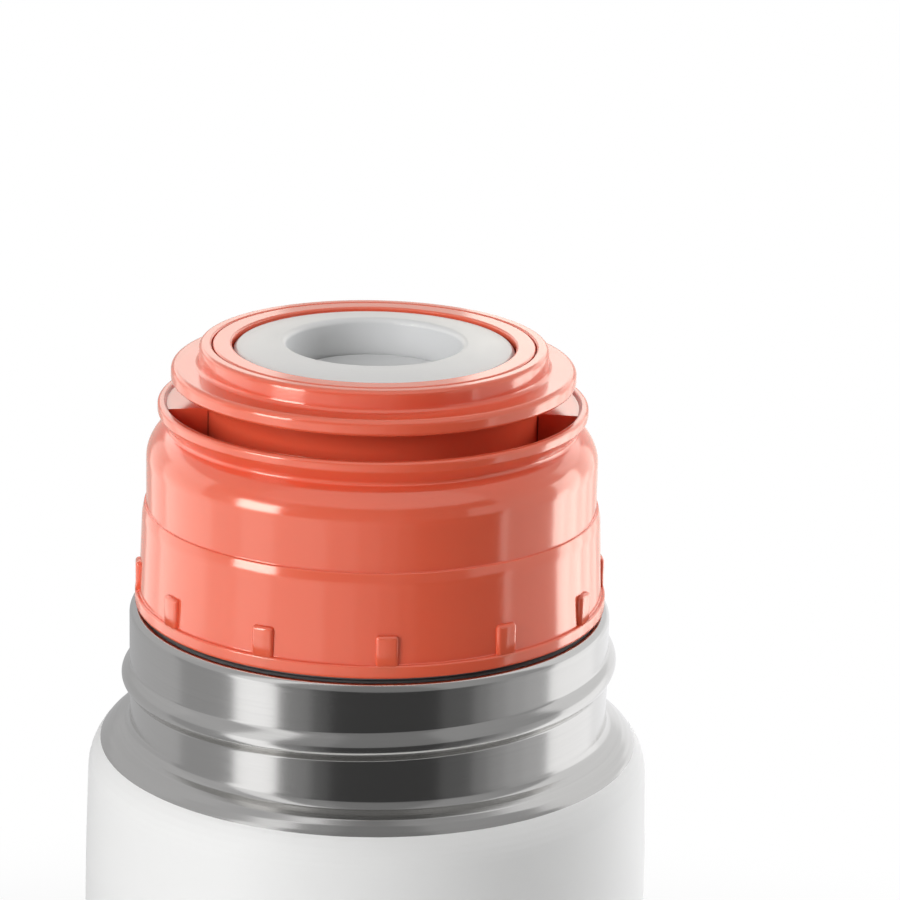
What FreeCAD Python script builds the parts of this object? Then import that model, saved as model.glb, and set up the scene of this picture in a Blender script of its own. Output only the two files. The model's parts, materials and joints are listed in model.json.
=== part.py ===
"""Vacuum flask with a push-button pouring stopper, in millimetres, with +Z up.

The origin is the centre of the foot, on the surface that the flask stands on.
The front of the flask faces -Y, and angles round the axis are measured from the
front, positive towards +X. Each piece is one solid of revolution with its
threads, lugs, spokes or ports added, and each is written to its own STEP file.
"""

import FreeCAD
import Part
import math
import os

# Flask, driving sizes
BODY_RADIUS = 37.4
BODY_TAPER = 0.75
BODY_TAPER_LENGTH = 22.0
BODY_TAPER_ROUNDING = 500.0
RIM_HEIGHT = 189.5
RIM_ROUNDING = 1.1
SHOULDER_STEP = 6.05
SHOULDER_SLOPE = 22.5
SHOULDER_ROUNDING = 7.0
NECK_LENGTH = 15.9
NECK_DEPTH = 2.65
COVE_ROUNDING = 1.4
PAINT_LINE_DROP = 2.5
STEEL_WALL = 0.6
VACUUM_GAP = 3.6
BASE_GAP = 5.0
FOOT_ROUNDING = 3.5
FOOT_TURN_IN = 7.0
PAD_PROUD = 1.0
PAD_RECESS = 0.5
PAD_TREAD = 7.5
DIMPLE_RADIUS = 6.0
DIMPLE_HEIGHT = 1.8
SEAL_HOLE_RADIUS = 1.6
SEAL_HEAD_RADIUS = 3.5
SEAL_HEAD_HEIGHT = 1.0
GETTER_RADIUS = 5.0
GETTER_HEIGHT = 2.4
GETTER_PLACE = 0.6
FOIL_THICKNESS = 0.2
FOIL_MARGIN = 14.0
VESSEL_SHOULDER = 6.0
VESSEL_NECK_EXTRA = 3.0
VESSEL_FLOOR_ROUNDING = 9.0

# Rolled thread on the outside of the neck, for the drinking cup
NECK_THREAD_HEIGHT = 1.05
NECK_THREAD_WIDTH = 4.0
NECK_THREAD_LEAD = 5.4
NECK_THREAD_DROP = 8.1
NECK_THREAD_HALF_SPAN = 150.0
NECK_THREAD_FADE = 32.0
NECK_THREAD_STEP = 7.5

# Screw thread between the neck and the stopper
SCREW_LEAD = 5.5
SCREW_DEPTH = 1.3
SCREW_ROOT_WIDTH = 3.0
SCREW_CREST_WIDTH = 1.9
SCREW_TURNS = 1.25
SCREW_DROP = 12.0
SCREW_CREST_CLEARANCE = 0.4
SCREW_ROOT_CLEARANCE = 0.5
SCREW_FADE = 30.0
SCREW_STEP = 15.0

# Stopper shell
SEAL_GAP = 0.6
GASKET_HEIGHT = 1.6
GASKET_RIM = 0.8
RIM_SHOW = 0.7
FLANGE_THICKNESS = 1.7
FLANGE_PROUD = 0.55
LUG_COUNT = 12
LUG_WIDTH = 3.2
LUG_HEIGHT = 3.8
LUG_INSET = 0.1
LUG_FIRST_ANGLE = 4.2
SKIRT_HEIGHT = 11.6
SKIRT_TAPER = 0.4
SKIRT_STEP = 0.55
UPPER_HEIGHT = 13.6
LIP_INSET = 1.45
LIP_EDGE = 1.25
LIP_WALL = 2.0
LIP_FLARE = 0.9
GROOVE_DEPTH = 1.55
GROOVE_HEIGHT = 1.9
SHOULDER_FALL = 1.5
SHELL_SHOULDER_ROUNDING = 4.8
SHELL_LEDGE = 0.5
THROAT_LENGTH = 1.5
MOUTH_HALF_ANGLE = 80.0
WEB_DROP = 0.4

# Plug that screws into the neck
PLUG_WALL = 2.0
PLUG_LENGTH = 17.0
PLUG_FLOOR = 2.0
PLUG_COLLAR = 0.8
PLUG_COLLAR_HEIGHT = 11.3
PORT_RADIUS = 9.0
HUB_HEIGHT = 8.0
HUB_WALL = 2.4
SPOKE_COUNT = 4
SPOKE_WIDTH = 2.2
SPOKE_HEIGHT = 7.5
SHELL_SEAL_WIDTH = 1.6
SHELL_SEAL_DEPTH = 1.0

# Top cap, collar and bezel
POUR_CHANNEL = 2.8
POUR_GAP = 2.7
BRIM_WIDTH = 4.65
BRIM_THICKNESS = 2.1
CAP_RISE = 2.7
CAP_BAND = 1.15
CAP_WALL = 1.8
CAP_FLOOR = 2.0
SPIGOT_RADIUS = 6.0
SPIGOT_LENGTH = 6.0
COLLAR_SEAT = 1.25
COLLAR_HEIGHT = 5.4
COLLAR_WALL = 2.5
COLLAR_LEDGE_SHARE = 0.4
BEZEL_RISE = 0.4
BEZEL_GAP = 0.2
BEZEL_CROWN = 0.75
BEZEL_CROWN_ROUNDING = 25.0
BEZEL_CHAMFER = 0.4
BEZEL_THICKNESS = 2.2
BEZEL_SKIRT_SHARE = 0.275
BEZEL_TUBE_WALL = 1.7
BEZEL_TUBE_LENGTH = 14.1

# Button, stem and valve
BUTTON_RADIUS = 11.0
BUTTON_RECESS = 4.8
BUTTON_DISH = 0.9
BUTTON_TOP = 2.6
BUTTON_SKIRT = 1.8
BUTTON_STOP = 1.4
BUTTON_STOP_HEIGHT = 1.2
BUTTON_STOP_GAP = 0.5
BUTTON_BOSS_WALL = 2.0
BUTTON_BOSS_LENGTH = 4.4
STEM_RADIUS = 3.0
STEM_SOCKET = 5.0
CLIP_THICKNESS = 0.8
CLIP_DEPTH = 0.6
CLIP_WIDTH = 2.4
CLIP_GAP = 0.2
CLIP_MOUTH = 4.0
O_RING_SECTION = 1.8
WASHER_RADIUS = 9.5
WASHER_THICKNESS = 1.2
SPRING_RADIUS = 7.2
SPRING_WIRE = 0.55
SPRING_TURNS = 6.5
VALVE_RADIUS = 12.0
VALVE_THICKNESS = 2.5
VALVE_SEAL_THICKNESS = 2.0
VALVE_SEAL_INNER = 7.0
VALVE_SEAL_INSET = 0.5
VALVE_BOSS_SHORT = 0.6
SCREW_HEAD_RADIUS = 3.2
SCREW_HEAD_HEIGHT = 1.5
SCREW_SHANK_RADIUS = 1.4
SCREW_SHANK_LENGTH = 6.0
SCREW_SLOT_WIDTH = 0.9
SCREW_SLOT_DEPTH = 0.7

# Clearances
FIT = 0.1
RUN = 0.3
SHAFT = 0.15
RING_FIT = 0.08
SINK = 0.3
TINY = 1e-6

AXIS = FreeCAD.Vector(0, 0, 1)
ORIGIN = FreeCAD.Vector(0, 0, 0)

# Flask, sizes that follow
NECK_RADIUS = BODY_RADIUS - SHOULDER_STEP
NECK_BORE = NECK_RADIUS - NECK_DEPTH
COVE_Z = RIM_HEIGHT - NECK_LENGTH
SHOULDER_RADIUS = BODY_RADIUS - BODY_TAPER
SHOULDER_Z = COVE_Z - (SHOULDER_RADIUS - NECK_RADIUS) * math.tan(math.radians(SHOULDER_SLOPE))
PAINT_Z = COVE_Z - PAINT_LINE_DROP
BASE_Z = PAD_PROUD + STEEL_WALL
VESSEL_RADIUS = BODY_RADIUS - VACUUM_GAP - 2 * STEEL_WALL
VESSEL_FLOOR_Z = BASE_Z + STEEL_WALL + BASE_GAP + STEEL_WALL
VESSEL_NECK_Z = COVE_Z - VESSEL_NECK_EXTRA
VESSEL_SHOULDER_Z = VESSEL_NECK_Z - VESSEL_SHOULDER
GETTER_OFFSET = (BODY_RADIUS - FOOT_TURN_IN) * GETTER_PLACE

# Stopper, radii that follow
SCREW_CREST_RADIUS = NECK_BORE - SCREW_CREST_CLEARANCE
PLUG_RADIUS = SCREW_CREST_RADIUS - SCREW_DEPTH
PLUG_BORE = PLUG_RADIUS - PLUG_WALL
PLUG_COLLAR_RADIUS = PLUG_RADIUS + PLUG_COLLAR
SHELL_BORE = PLUG_COLLAR_RADIUS + FIT
FLANGE_RADIUS = NECK_RADIUS - RIM_SHOW
GASKET_GROOVE_RADIUS = FLANGE_RADIUS - GASKET_RIM
SKIRT_RADIUS = FLANGE_RADIUS - FLANGE_PROUD
SHELL_RADIUS = SKIRT_RADIUS - SKIRT_TAPER - SKIRT_STEP
LIP_RADIUS = SHELL_RADIUS - LIP_INSET
GROOVE_RADIUS = LIP_RADIUS - GROOVE_DEPTH
THROAT_RADIUS = GROOVE_RADIUS - LIP_WALL
CUP_RADIUS = THROAT_RADIUS - POUR_CHANNEL
CUP_BORE = CUP_RADIUS - CAP_WALL
COLLAR_BORE = CUP_BORE + COLLAR_SEAT - FIT - COLLAR_WALL
BEZEL_RADIUS = COLLAR_BORE - BEZEL_GAP
BEZEL_BORE = BUTTON_RADIUS + RUN
BEZEL_TUBE_RADIUS = BEZEL_BORE + BEZEL_TUBE_WALL
BEZEL_SKIRT = (BEZEL_RADIUS - BEZEL_TUBE_RADIUS) * BEZEL_SKIRT_SHARE
COLLAR_LEDGE = (COLLAR_BORE - BEZEL_TUBE_RADIUS) * COLLAR_LEDGE_SHARE

# Stopper, heights that follow
FLANGE_Z = RIM_HEIGHT + SEAL_GAP
FLANGE_TOP_Z = FLANGE_Z + FLANGE_THICKNESS
STEP_Z = FLANGE_TOP_Z + SKIRT_HEIGHT
LIP_Z = STEP_Z + UPPER_HEIGHT
GROOVE_Z = LIP_Z - LIP_EDGE - GROOVE_HEIGHT
SHELL_SHOULDER_Z = GROOVE_Z - SHOULDER_FALL
GASKET_ROOF_Z = RIM_HEIGHT + GASKET_HEIGHT + FIT / 2
PLUG_COLLAR_Z = GASKET_ROOF_Z + FIT
PLUG_TOP_Z = PLUG_COLLAR_Z + PLUG_COLLAR_HEIGHT
PLUG_END_Z = RIM_HEIGHT - PLUG_LENGTH
HUB_TOP_Z = PLUG_COLLAR_Z + HUB_HEIGHT
CUP_FLOOR_Z = HUB_TOP_Z + CAP_FLOOR
BRIM_Z = LIP_Z + POUR_GAP
BRIM_TOP_Z = BRIM_Z + BRIM_THICKNESS
CAP_TOP_Z = BRIM_TOP_Z + CAP_RISE
COLLAR_Z = CAP_TOP_Z - COLLAR_HEIGHT
BEZEL_TOP_Z = CAP_TOP_Z + BEZEL_RISE
BEZEL_SEAT_Z = COLLAR_Z + (COLLAR_HEIGHT + BEZEL_RISE - BEZEL_THICKNESS) / 2
BEZEL_TUBE_Z = BEZEL_TOP_Z - BEZEL_TUBE_LENGTH
BUTTON_Z = BEZEL_TOP_Z - BUTTON_RECESS
BUTTON_UNDER_Z = BUTTON_Z - BUTTON_TOP
BUTTON_STOP_Z = BEZEL_TUBE_Z - BUTTON_STOP_GAP
BUTTON_BOSS_Z = BUTTON_UNDER_Z - BUTTON_BOSS_LENGTH
WASHER_TOP_Z = CUP_FLOOR_Z + WASHER_THICKNESS
VALVE_Z = PLUG_END_Z - VALVE_SEAL_THICKNESS
VALVE_END_Z = VALVE_Z - VALVE_THICKNESS
STEM_TOP_Z = BUTTON_BOSS_Z + STEM_SOCKET
STEM_SLEEVE = STEM_RADIUS + FIT / 2


def at(radius, height):
    """The point of the XZ half plane at that radius and height."""
    return FreeCAD.Vector(radius, 0, height)


def corner(before, here, after):
    """Start, middle and end of the arc that rounds one corner of an outline."""
    radius = here[2] if len(here) > 2 else 0.0
    point = at(*here[:2])
    back = (at(*before[:2]) - point).normalize()
    on = (at(*after[:2]) - point).normalize()
    half = back.getAngle(on) / 2
    if radius < TINY or math.pi / 2 - half < TINY:
        return point, point, point
    inward = (back + on).normalize()
    reach = radius / math.tan(half)
    middle = point + inward * (radius / math.sin(half) - radius)
    return point + back * reach, middle, point + on * reach


def wire_of(outline):
    """A closed wire through (r, z) or (r, z, corner radius) points."""
    count = len(outline)
    corners = [corner(outline[i - 1], outline[i], outline[(i + 1) % count]) for i in range(count)]
    edges = []
    for i, (start, middle, end) in enumerate(corners):
        if (end - start).Length > TINY:
            edges.append(Part.Arc(start, middle, end).toShape())
        following = corners[(i + 1) % count][0]
        if (following - end).Length > TINY:
            edges.append(Part.LineSegment(end, following).toShape())
    return Part.Wire(edges)


def outward(shape):
    """The shape's only solid, with its faces turned outwards."""
    solid = shape.Solids[0]
    if solid.Volume < 0:
        solid.reverse()
    return solid


def turned(outline):
    """The solid that a closed outline makes when it is turned once about Z."""
    return outward(Part.Face(wire_of(outline)).revolve(ORIGIN, AXIS, 360))


def moved_right(path, distance):
    """An open path moved sideways to its right, with its rounded corners kept parallel."""
    ways = []
    for one, two in zip(path, path[1:]):
        length = math.hypot(two[0] - one[0], two[1] - one[1])
        ways.append(((two[0] - one[0]) / length, (two[1] - one[1]) / length))
    first, last = ways[0], ways[-1]
    moved = [(path[0][0] + first[1] * distance, path[0][1] - first[0] * distance)]
    for i in range(1, len(path) - 1):
        (ar, az), (br, bz) = ways[i - 1], ways[i]
        share = distance / (1 + ar * br + az * bz)
        turn = ar * bz - az * br
        radius = path[i][2] if len(path[i]) > 2 else 0.0
        rounding = max(radius + distance * math.copysign(1, turn), 0.0)
        moved.append((path[i][0] + (az + bz) * share, path[i][1] - (ar + br) * share, rounding))
    moved.append((path[-1][0] + last[1] * distance, path[-1][1] - last[0] * distance))
    return moved


def sheet(path, thickness):
    """A turned wall of even thickness, to the right of its path."""
    return turned(list(path) + moved_right(path, thickness)[::-1])


def turned_round(shape, angle):
    """A copy of the shape turned about Z, from the front towards +X."""
    copy = shape.copy()
    copy.rotate(ORIGIN, AXIS, angle)
    return copy


def spread(low, high, step):
    """Evenly spaced values from low to high, about one step apart."""
    count = max(1, round((high - low) / step))
    return [low + (high - low) * i / count for i in range(count + 1)]


def fading(angle, low, high, fade):
    """1 along a thread, falling smoothly to 0 at both of its ends."""
    share = min(1.0, (angle - low) / fade, (high - angle) / fade)
    return share * share * (3 - 2 * share)


def ridge(wires):
    """A solid ridge through cross-sections that stand round the axis."""
    return outward(Part.makeLoft(wires, True, False))


def placed(wire, angle):
    """A wire of the XZ half plane turned to an angle from the front."""
    return turned_round(wire, angle - 90)


def fused(*shapes):
    """One solid of shapes that overlap."""
    return outward(shapes[0].fuse(list(shapes[1:])).removeSplitter())


def screw_ridge(root, crest, low):
    """A screw ridge from its root radius to its crest radius, with ends that run out."""
    high = 360 * SCREW_TURNS
    wires = []
    for angle in spread(0, high, SCREW_STEP):
        tip = root + (crest - root) * (0.05 + 0.95 * fading(angle, 0, high, SCREW_FADE))
        middle = low + SCREW_LEAD * angle / 360
        outline = [
            (root, middle - SCREW_ROOT_WIDTH / 2),
            (tip, middle - SCREW_CREST_WIDTH / 2),
            (tip, middle + SCREW_CREST_WIDTH / 2),
            (root, middle + SCREW_ROOT_WIDTH / 2),
        ]
        wires.append(placed(wire_of(outline), angle))
    return ridge(wires)


def outer_steel():
    """The whole outer steel wall from the rim to the foot, before it is painted."""
    return sheet(
        [
            (NECK_BORE + STEEL_WALL, RIM_HEIGHT),
            (NECK_RADIUS, RIM_HEIGHT, RIM_ROUNDING),
            (NECK_RADIUS, COVE_Z, COVE_ROUNDING),
            (SHOULDER_RADIUS, SHOULDER_Z, SHOULDER_ROUNDING),
            (BODY_RADIUS, SHOULDER_Z - BODY_TAPER_LENGTH, BODY_TAPER_ROUNDING),
            (BODY_RADIUS, PAD_PROUD, FOOT_ROUNDING),
            (BODY_RADIUS - FOOT_TURN_IN, PAD_PROUD),
        ],
        STEEL_WALL,
    )


def above_paint_line():
    """A block that holds everything above the paint line."""
    return Part.makeCylinder(2 * BODY_RADIUS, RIM_HEIGHT, FreeCAD.Vector(0, 0, PAINT_Z))


def neck_thread():
    """The thread rolled into the outside of the neck, which fades out at the back."""
    low, high = -NECK_THREAD_HALF_SPAN, NECK_THREAD_HALF_SPAN
    root = NECK_RADIUS - SINK
    wires = []
    for angle in spread(low, high, NECK_THREAD_STEP):
        shown = fading(angle, low, high, NECK_THREAD_FADE)
        crest = root + 0.1 + (NECK_THREAD_HEIGHT + SINK - 0.1) * shown
        middle = RIM_HEIGHT - NECK_THREAD_DROP + NECK_THREAD_LEAD * angle / 360
        foot = at(root, middle - NECK_THREAD_WIDTH / 2)
        head = at(root, middle + NECK_THREAD_WIDTH / 2)
        edges = [Part.Arc(foot, at(crest, middle), head).toShape(), Part.LineSegment(head, foot).toShape()]
        wires.append(placed(Part.Wire(edges), angle))
    return ridge(wires)


def neck_shell():
    """Bare steel rim, threaded neck and shoulder, down to the paint line."""
    return fused(outward(outer_steel().common(above_paint_line())), neck_thread())


def outer_body():
    """Painted steel body below the paint line, turned in at the foot."""
    return outward(outer_steel().cut(above_paint_line()))


def inner_vessel():
    """Steel vessel that holds the drink, with the stopper's screw thread in its neck."""
    wall = sheet(
        [
            (NECK_BORE, RIM_HEIGHT),
            (NECK_BORE, VESSEL_NECK_Z, VESSEL_SHOULDER / 2),
            (VESSEL_RADIUS, VESSEL_SHOULDER_Z, VESSEL_SHOULDER / 2),
            (VESSEL_RADIUS, VESSEL_FLOOR_Z, VESSEL_FLOOR_ROUNDING),
            (0, VESSEL_FLOOR_Z),
        ],
        -STEEL_WALL,
    )
    thread = screw_ridge(NECK_BORE + SINK, PLUG_RADIUS + SCREW_ROOT_CLEARANCE, RIM_HEIGHT - SCREW_DROP)
    return fused(wall, thread)


def radiation_foil():
    """Copper foil wrapped round the vessel inside the vacuum."""
    inside = VESSEL_RADIUS + STEEL_WALL
    low = VESSEL_FLOOR_Z + FOIL_MARGIN
    high = VESSEL_SHOULDER_Z - FOIL_MARGIN
    outside = inside + FOIL_THICKNESS
    return turned([(inside, low), (outside, low), (outside, high), (inside, high)])


def outer_base():
    """Steel disc that closes the foot, with a dimple where the air was pumped out."""
    edge = BODY_RADIUS - FOOT_ROUNDING - FIT
    return sheet(
        [
            (edge, BASE_Z),
            (DIMPLE_RADIUS + DIMPLE_HEIGHT, BASE_Z, STEEL_WALL),
            (DIMPLE_RADIUS, BASE_Z + DIMPLE_HEIGHT, STEEL_WALL),
            (SEAL_HOLE_RADIUS, BASE_Z + DIMPLE_HEIGHT),
        ],
        STEEL_WALL,
    )


def vacuum_seal():
    """Sealed rivet in the pumping hole of the base."""
    under = BASE_Z + DIMPLE_HEIGHT
    shank = SEAL_HOLE_RADIUS - FIT
    return turned(
        [
            (0, under - SEAL_HEAD_HEIGHT),
            (SEAL_HEAD_RADIUS, under - SEAL_HEAD_HEIGHT, SEAL_HEAD_HEIGHT / 2),
            (SEAL_HEAD_RADIUS, under),
            (shank, under),
            (shank, under + STEEL_WALL),
            (0, under + STEEL_WALL),
        ]
    )


def getter():
    """Getter tablet on the base, inside the vacuum."""
    floor = BASE_Z + STEEL_WALL
    rounding = GETTER_HEIGHT / 4
    outline = [
        (0, floor),
        (GETTER_RADIUS, floor),
        (GETTER_RADIUS, floor + GETTER_HEIGHT, rounding),
        (0, floor + GETTER_HEIGHT),
    ]
    tablet = turned(outline)
    tablet.translate(FreeCAD.Vector(0, GETTER_OFFSET, 0))
    return tablet


def base_pad():
    """Soft pad in the foot that the flask stands on."""
    edge = BODY_RADIUS - FOOT_TURN_IN - FIT
    tread = edge - PAD_TREAD
    return turned(
        [
            (0, PAD_RECESS),
            (tread - PAD_RECESS, PAD_RECESS),
            (tread, 0),
            (edge, 0, PAD_RECESS),
            (edge, BASE_Z),
            (0, BASE_Z),
        ]
    )


def neck_gasket():
    """Flat silicone ring between the stopper and the rim."""
    inside = PLUG_RADIUS + RUN
    outside = GASKET_GROOVE_RADIUS - RUN
    top = RIM_HEIGHT + GASKET_HEIGHT
    return turned([(inside, RIM_HEIGHT), (outside, RIM_HEIGHT), (outside, top), (inside, top)])


def lug():
    """One of the grip lugs round the bottom of the stopper, at the front."""
    outside = FLANGE_RADIUS - LUG_INSET
    inside = SKIRT_RADIUS - FLANGE_PROUD
    block = Part.makeBox(
        LUG_WIDTH,
        outside,
        LUG_HEIGHT + FLANGE_THICKNESS / 2,
        FreeCAD.Vector(-LUG_WIDTH / 2, -outside, FLANGE_TOP_Z - FLANGE_THICKNESS / 2),
    )
    top = FLANGE_TOP_Z + LUG_HEIGHT
    ring = turned(
        [
            (inside, FLANGE_Z),
            (outside, FLANGE_Z),
            (outside, top, FLANGE_PROUD * 0.6),
            (inside, top),
        ]
    )
    return outward(block.common(ring))


def lip_web():
    """Web behind the pouring mouth, which closes the throat between the lip and the cap's cup."""
    inside = CUP_RADIUS + FIT
    low = GROOVE_Z - THROAT_LENGTH
    top = LIP_Z - WEB_DROP
    outline = [
        (inside, low),
        (THROAT_RADIUS + SINK, low),
        (THROAT_RADIUS + SINK, GROOVE_Z),
        (LIP_RADIUS - LIP_FLARE, top),
        (inside, top),
    ]
    section = placed(Part.Face(wire_of(outline)), MOUTH_HALF_ANGLE)
    return outward(section.revolve(ORIGIN, AXIS, 360 - 2 * MOUTH_HALF_ANGLE))


def stopper_shell():
    """Coral outer shell: flange with lugs, skirt, shoulder and flared pouring lip."""
    inner_lip = LIP_RADIUS - LIP_FLARE
    shell = turned(
        [
            (SHELL_BORE, GASKET_ROOF_Z),
            (GASKET_GROOVE_RADIUS, GASKET_ROOF_Z),
            (GASKET_GROOVE_RADIUS, FLANGE_Z),
            (FLANGE_RADIUS, FLANGE_Z, FLANGE_PROUD / 2),
            (FLANGE_RADIUS, FLANGE_TOP_Z, FLANGE_PROUD / 2),
            (SKIRT_RADIUS, FLANGE_TOP_Z, FLANGE_PROUD / 3),
            (SKIRT_RADIUS - SKIRT_TAPER, STEP_Z, SKIRT_STEP / 2),
            (SHELL_RADIUS, STEP_Z, SKIRT_STEP / 3),
            (SHELL_RADIUS, SHELL_SHOULDER_Z, SHELL_SHOULDER_ROUNDING),
            (GROOVE_RADIUS, GROOVE_Z, GROOVE_DEPTH * 0.7),
            (LIP_RADIUS, LIP_Z - LIP_EDGE, LIP_EDGE / 3),
            (LIP_RADIUS, LIP_Z, LIP_EDGE / 3),
            (inner_lip, LIP_Z, LIP_EDGE / 4),
            (THROAT_RADIUS, GROOVE_Z, LIP_WALL),
            (THROAT_RADIUS, GROOVE_Z - THROAT_LENGTH, LIP_WALL / 2),
            (SHELL_BORE - SHELL_LEDGE, SHELL_SHOULDER_Z - LIP_WALL, LIP_WALL / 2),
            (SHELL_BORE - SHELL_LEDGE, PLUG_TOP_Z + FIT),
            (SHELL_BORE, PLUG_TOP_Z + FIT),
        ]
    )
    lugs = [turned_round(lug(), LUG_FIRST_ANGLE + 360 * i / LUG_COUNT) for i in range(LUG_COUNT)]
    return fused(shell, lip_web(), *lugs)


def stopper_plug():
    """Plug that screws into the neck, with the valve port in its floor and a hub on spokes."""
    seal_low = (PLUG_COLLAR_Z + PLUG_TOP_Z - SHELL_SEAL_WIDTH) / 2 - FIT
    seal_high = seal_low + SHELL_SEAL_WIDTH + 2 * FIT
    groove = PLUG_COLLAR_RADIUS - SHELL_SEAL_DEPTH
    body = turned(
        [
            (PORT_RADIUS, PLUG_END_Z),
            (PLUG_RADIUS, PLUG_END_Z, PLUG_WALL / 2),
            (PLUG_RADIUS, PLUG_COLLAR_Z),
            (PLUG_COLLAR_RADIUS, PLUG_COLLAR_Z),
            (PLUG_COLLAR_RADIUS, seal_low),
            (groove, seal_low),
            (groove, seal_high),
            (PLUG_COLLAR_RADIUS, seal_high),
            (PLUG_COLLAR_RADIUS, PLUG_TOP_Z),
            (PLUG_BORE, PLUG_TOP_Z),
            (PLUG_BORE, PLUG_END_Z + PLUG_FLOOR, PLUG_WALL),
            (PORT_RADIUS, PLUG_END_Z + PLUG_FLOOR),
        ]
    )
    hub_bore = SPIGOT_RADIUS + FIT
    hub_radius = hub_bore + HUB_WALL
    hub = turned(
        [
            (hub_bore, PLUG_COLLAR_Z),
            (hub_radius, PLUG_COLLAR_Z),
            (hub_radius, HUB_TOP_Z),
            (hub_bore, HUB_TOP_Z),
        ]
    )
    reach = PLUG_BORE + PLUG_WALL / 2 - hub_bore - HUB_WALL / 2
    spoke = Part.makeBox(
        reach,
        SPOKE_WIDTH,
        SPOKE_HEIGHT,
        FreeCAD.Vector(hub_bore + HUB_WALL / 2, -SPOKE_WIDTH / 2, PLUG_COLLAR_Z),
    )
    spokes = [turned_round(spoke, 360 * (i + 0.5) / SPOKE_COUNT) for i in range(SPOKE_COUNT)]
    low = RIM_HEIGHT - SCREW_DROP + SCREW_LEAD / 2
    return fused(body, screw_ridge(PLUG_RADIUS - SINK, SCREW_CREST_RADIUS, low), hub, *spokes)


def shell_seal():
    """Silicone ring between the plug and the shell."""
    low = (PLUG_COLLAR_Z + PLUG_TOP_Z - SHELL_SEAL_WIDTH) / 2
    high = low + SHELL_SEAL_WIDTH
    inside = PLUG_COLLAR_RADIUS - SHELL_SEAL_DEPTH + FIT / 2
    outside = SHELL_BORE - FIT / 2
    rounding = SHELL_SEAL_DEPTH / 4
    return turned(
        [
            (inside, low, rounding),
            (outside, low, rounding),
            (outside, high, rounding),
            (inside, high, rounding),
        ]
    )


def top_cap():
    """Coral cap on its cup: the brim stands over the pouring lip, and the cup holds the button."""
    bore = STEM_RADIUS + SHAFT
    gland = STEM_RADIUS + RING_FIT + O_RING_SECTION + FIT
    band = CUP_RADIUS + CAP_BAND
    seat = CUP_BORE + COLLAR_SEAT
    return turned(
        [
            (bore, HUB_TOP_Z - SPIGOT_LENGTH),
            (SPIGOT_RADIUS, HUB_TOP_Z - SPIGOT_LENGTH, FIT),
            (SPIGOT_RADIUS, HUB_TOP_Z),
            (CUP_RADIUS, HUB_TOP_Z, CAP_WALL),
            (CUP_RADIUS, BRIM_Z, CAP_WALL / 2),
            (CUP_RADIUS + BRIM_WIDTH, BRIM_Z, BRIM_THICKNESS / 4),
            (CUP_RADIUS + BRIM_WIDTH, BRIM_TOP_Z, BRIM_THICKNESS / 3),
            (band, BRIM_TOP_Z, CAP_BAND / 2),
            (band - FIT, CAP_TOP_Z, CAP_BAND / 2),
            (seat, CAP_TOP_Z, FIT),
            (seat, COLLAR_Z),
            (CUP_BORE, COLLAR_Z),
            (CUP_BORE, CUP_FLOOR_Z, CAP_WALL / 2),
            (gland, CUP_FLOOR_Z),
            (gland, CUP_FLOOR_Z - O_RING_SECTION - FIT),
            (bore, CUP_FLOOR_Z - O_RING_SECTION - FIT),
        ]
    )


def collar_ring():
    """Coral ring that holds the bezel in the cap."""
    outside = CUP_BORE + COLLAR_SEAT - FIT
    return turned(
        [
            (COLLAR_BORE - COLLAR_LEDGE, COLLAR_Z),
            (outside, COLLAR_Z),
            (outside, CAP_TOP_Z, BEZEL_GAP),
            (COLLAR_BORE, CAP_TOP_Z, BEZEL_GAP),
            (COLLAR_BORE, BEZEL_SEAT_Z),
            (COLLAR_BORE - COLLAR_LEDGE, BEZEL_SEAT_Z),
        ]
    )


def bezel_ring():
    """Grey ring round the finger well, with the tube that guides the button."""
    under = BEZEL_TOP_Z - BEZEL_THICKNESS
    edge = BEZEL_TOP_Z - BEZEL_CROWN
    middle = (BEZEL_RADIUS + BEZEL_BORE) / 2
    return turned(
        [
            (BEZEL_BORE, BEZEL_TUBE_Z),
            (BEZEL_TUBE_RADIUS, BEZEL_TUBE_Z),
            (BEZEL_TUBE_RADIUS, under),
            (BEZEL_RADIUS - BEZEL_SKIRT, under),
            (BEZEL_RADIUS - BEZEL_SKIRT, BEZEL_SEAT_Z),
            (BEZEL_RADIUS, BEZEL_SEAT_Z),
            (BEZEL_RADIUS, edge - BEZEL_CHAMFER),
            (BEZEL_RADIUS - BEZEL_CHAMFER, edge, BEZEL_CHAMFER / 2),
            (middle, BEZEL_TOP_Z - BEZEL_CROWN / 4, BEZEL_CROWN_ROUNDING),
            (BEZEL_BORE, BEZEL_TOP_Z, BEZEL_THICKNESS / 3),
        ]
    )


def push_button():
    """Grey dished button with a guide skirt, a stop rim and the boss that takes the stem."""
    skirt = BUTTON_RADIUS - BUTTON_SKIRT
    stop = BUTTON_RADIUS + BUTTON_STOP
    foot = BUTTON_STOP_Z - BUTTON_STOP_HEIGHT
    boss = STEM_SLEEVE + BUTTON_BOSS_WALL
    dish = BUTTON_Z - BUTTON_DISH
    return turned(
        [
            (0, dish),
            (BUTTON_RADIUS / 2, dish, BUTTON_RADIUS),
            (BUTTON_RADIUS - BUTTON_DISH, BUTTON_Z, BUTTON_DISH / 2),
            (BUTTON_RADIUS, BUTTON_Z, BUTTON_DISH / 2),
            (BUTTON_RADIUS, BUTTON_STOP_Z),
            (stop, BUTTON_STOP_Z),
            (stop, foot),
            (skirt, foot),
            (skirt, BUTTON_UNDER_Z),
            (boss, BUTTON_UNDER_Z),
            (boss, BUTTON_BOSS_Z),
            (STEM_SLEEVE, BUTTON_BOSS_Z),
            (STEM_SLEEVE, STEM_TOP_Z),
            (0, STEM_TOP_Z),
        ]
    )


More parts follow.
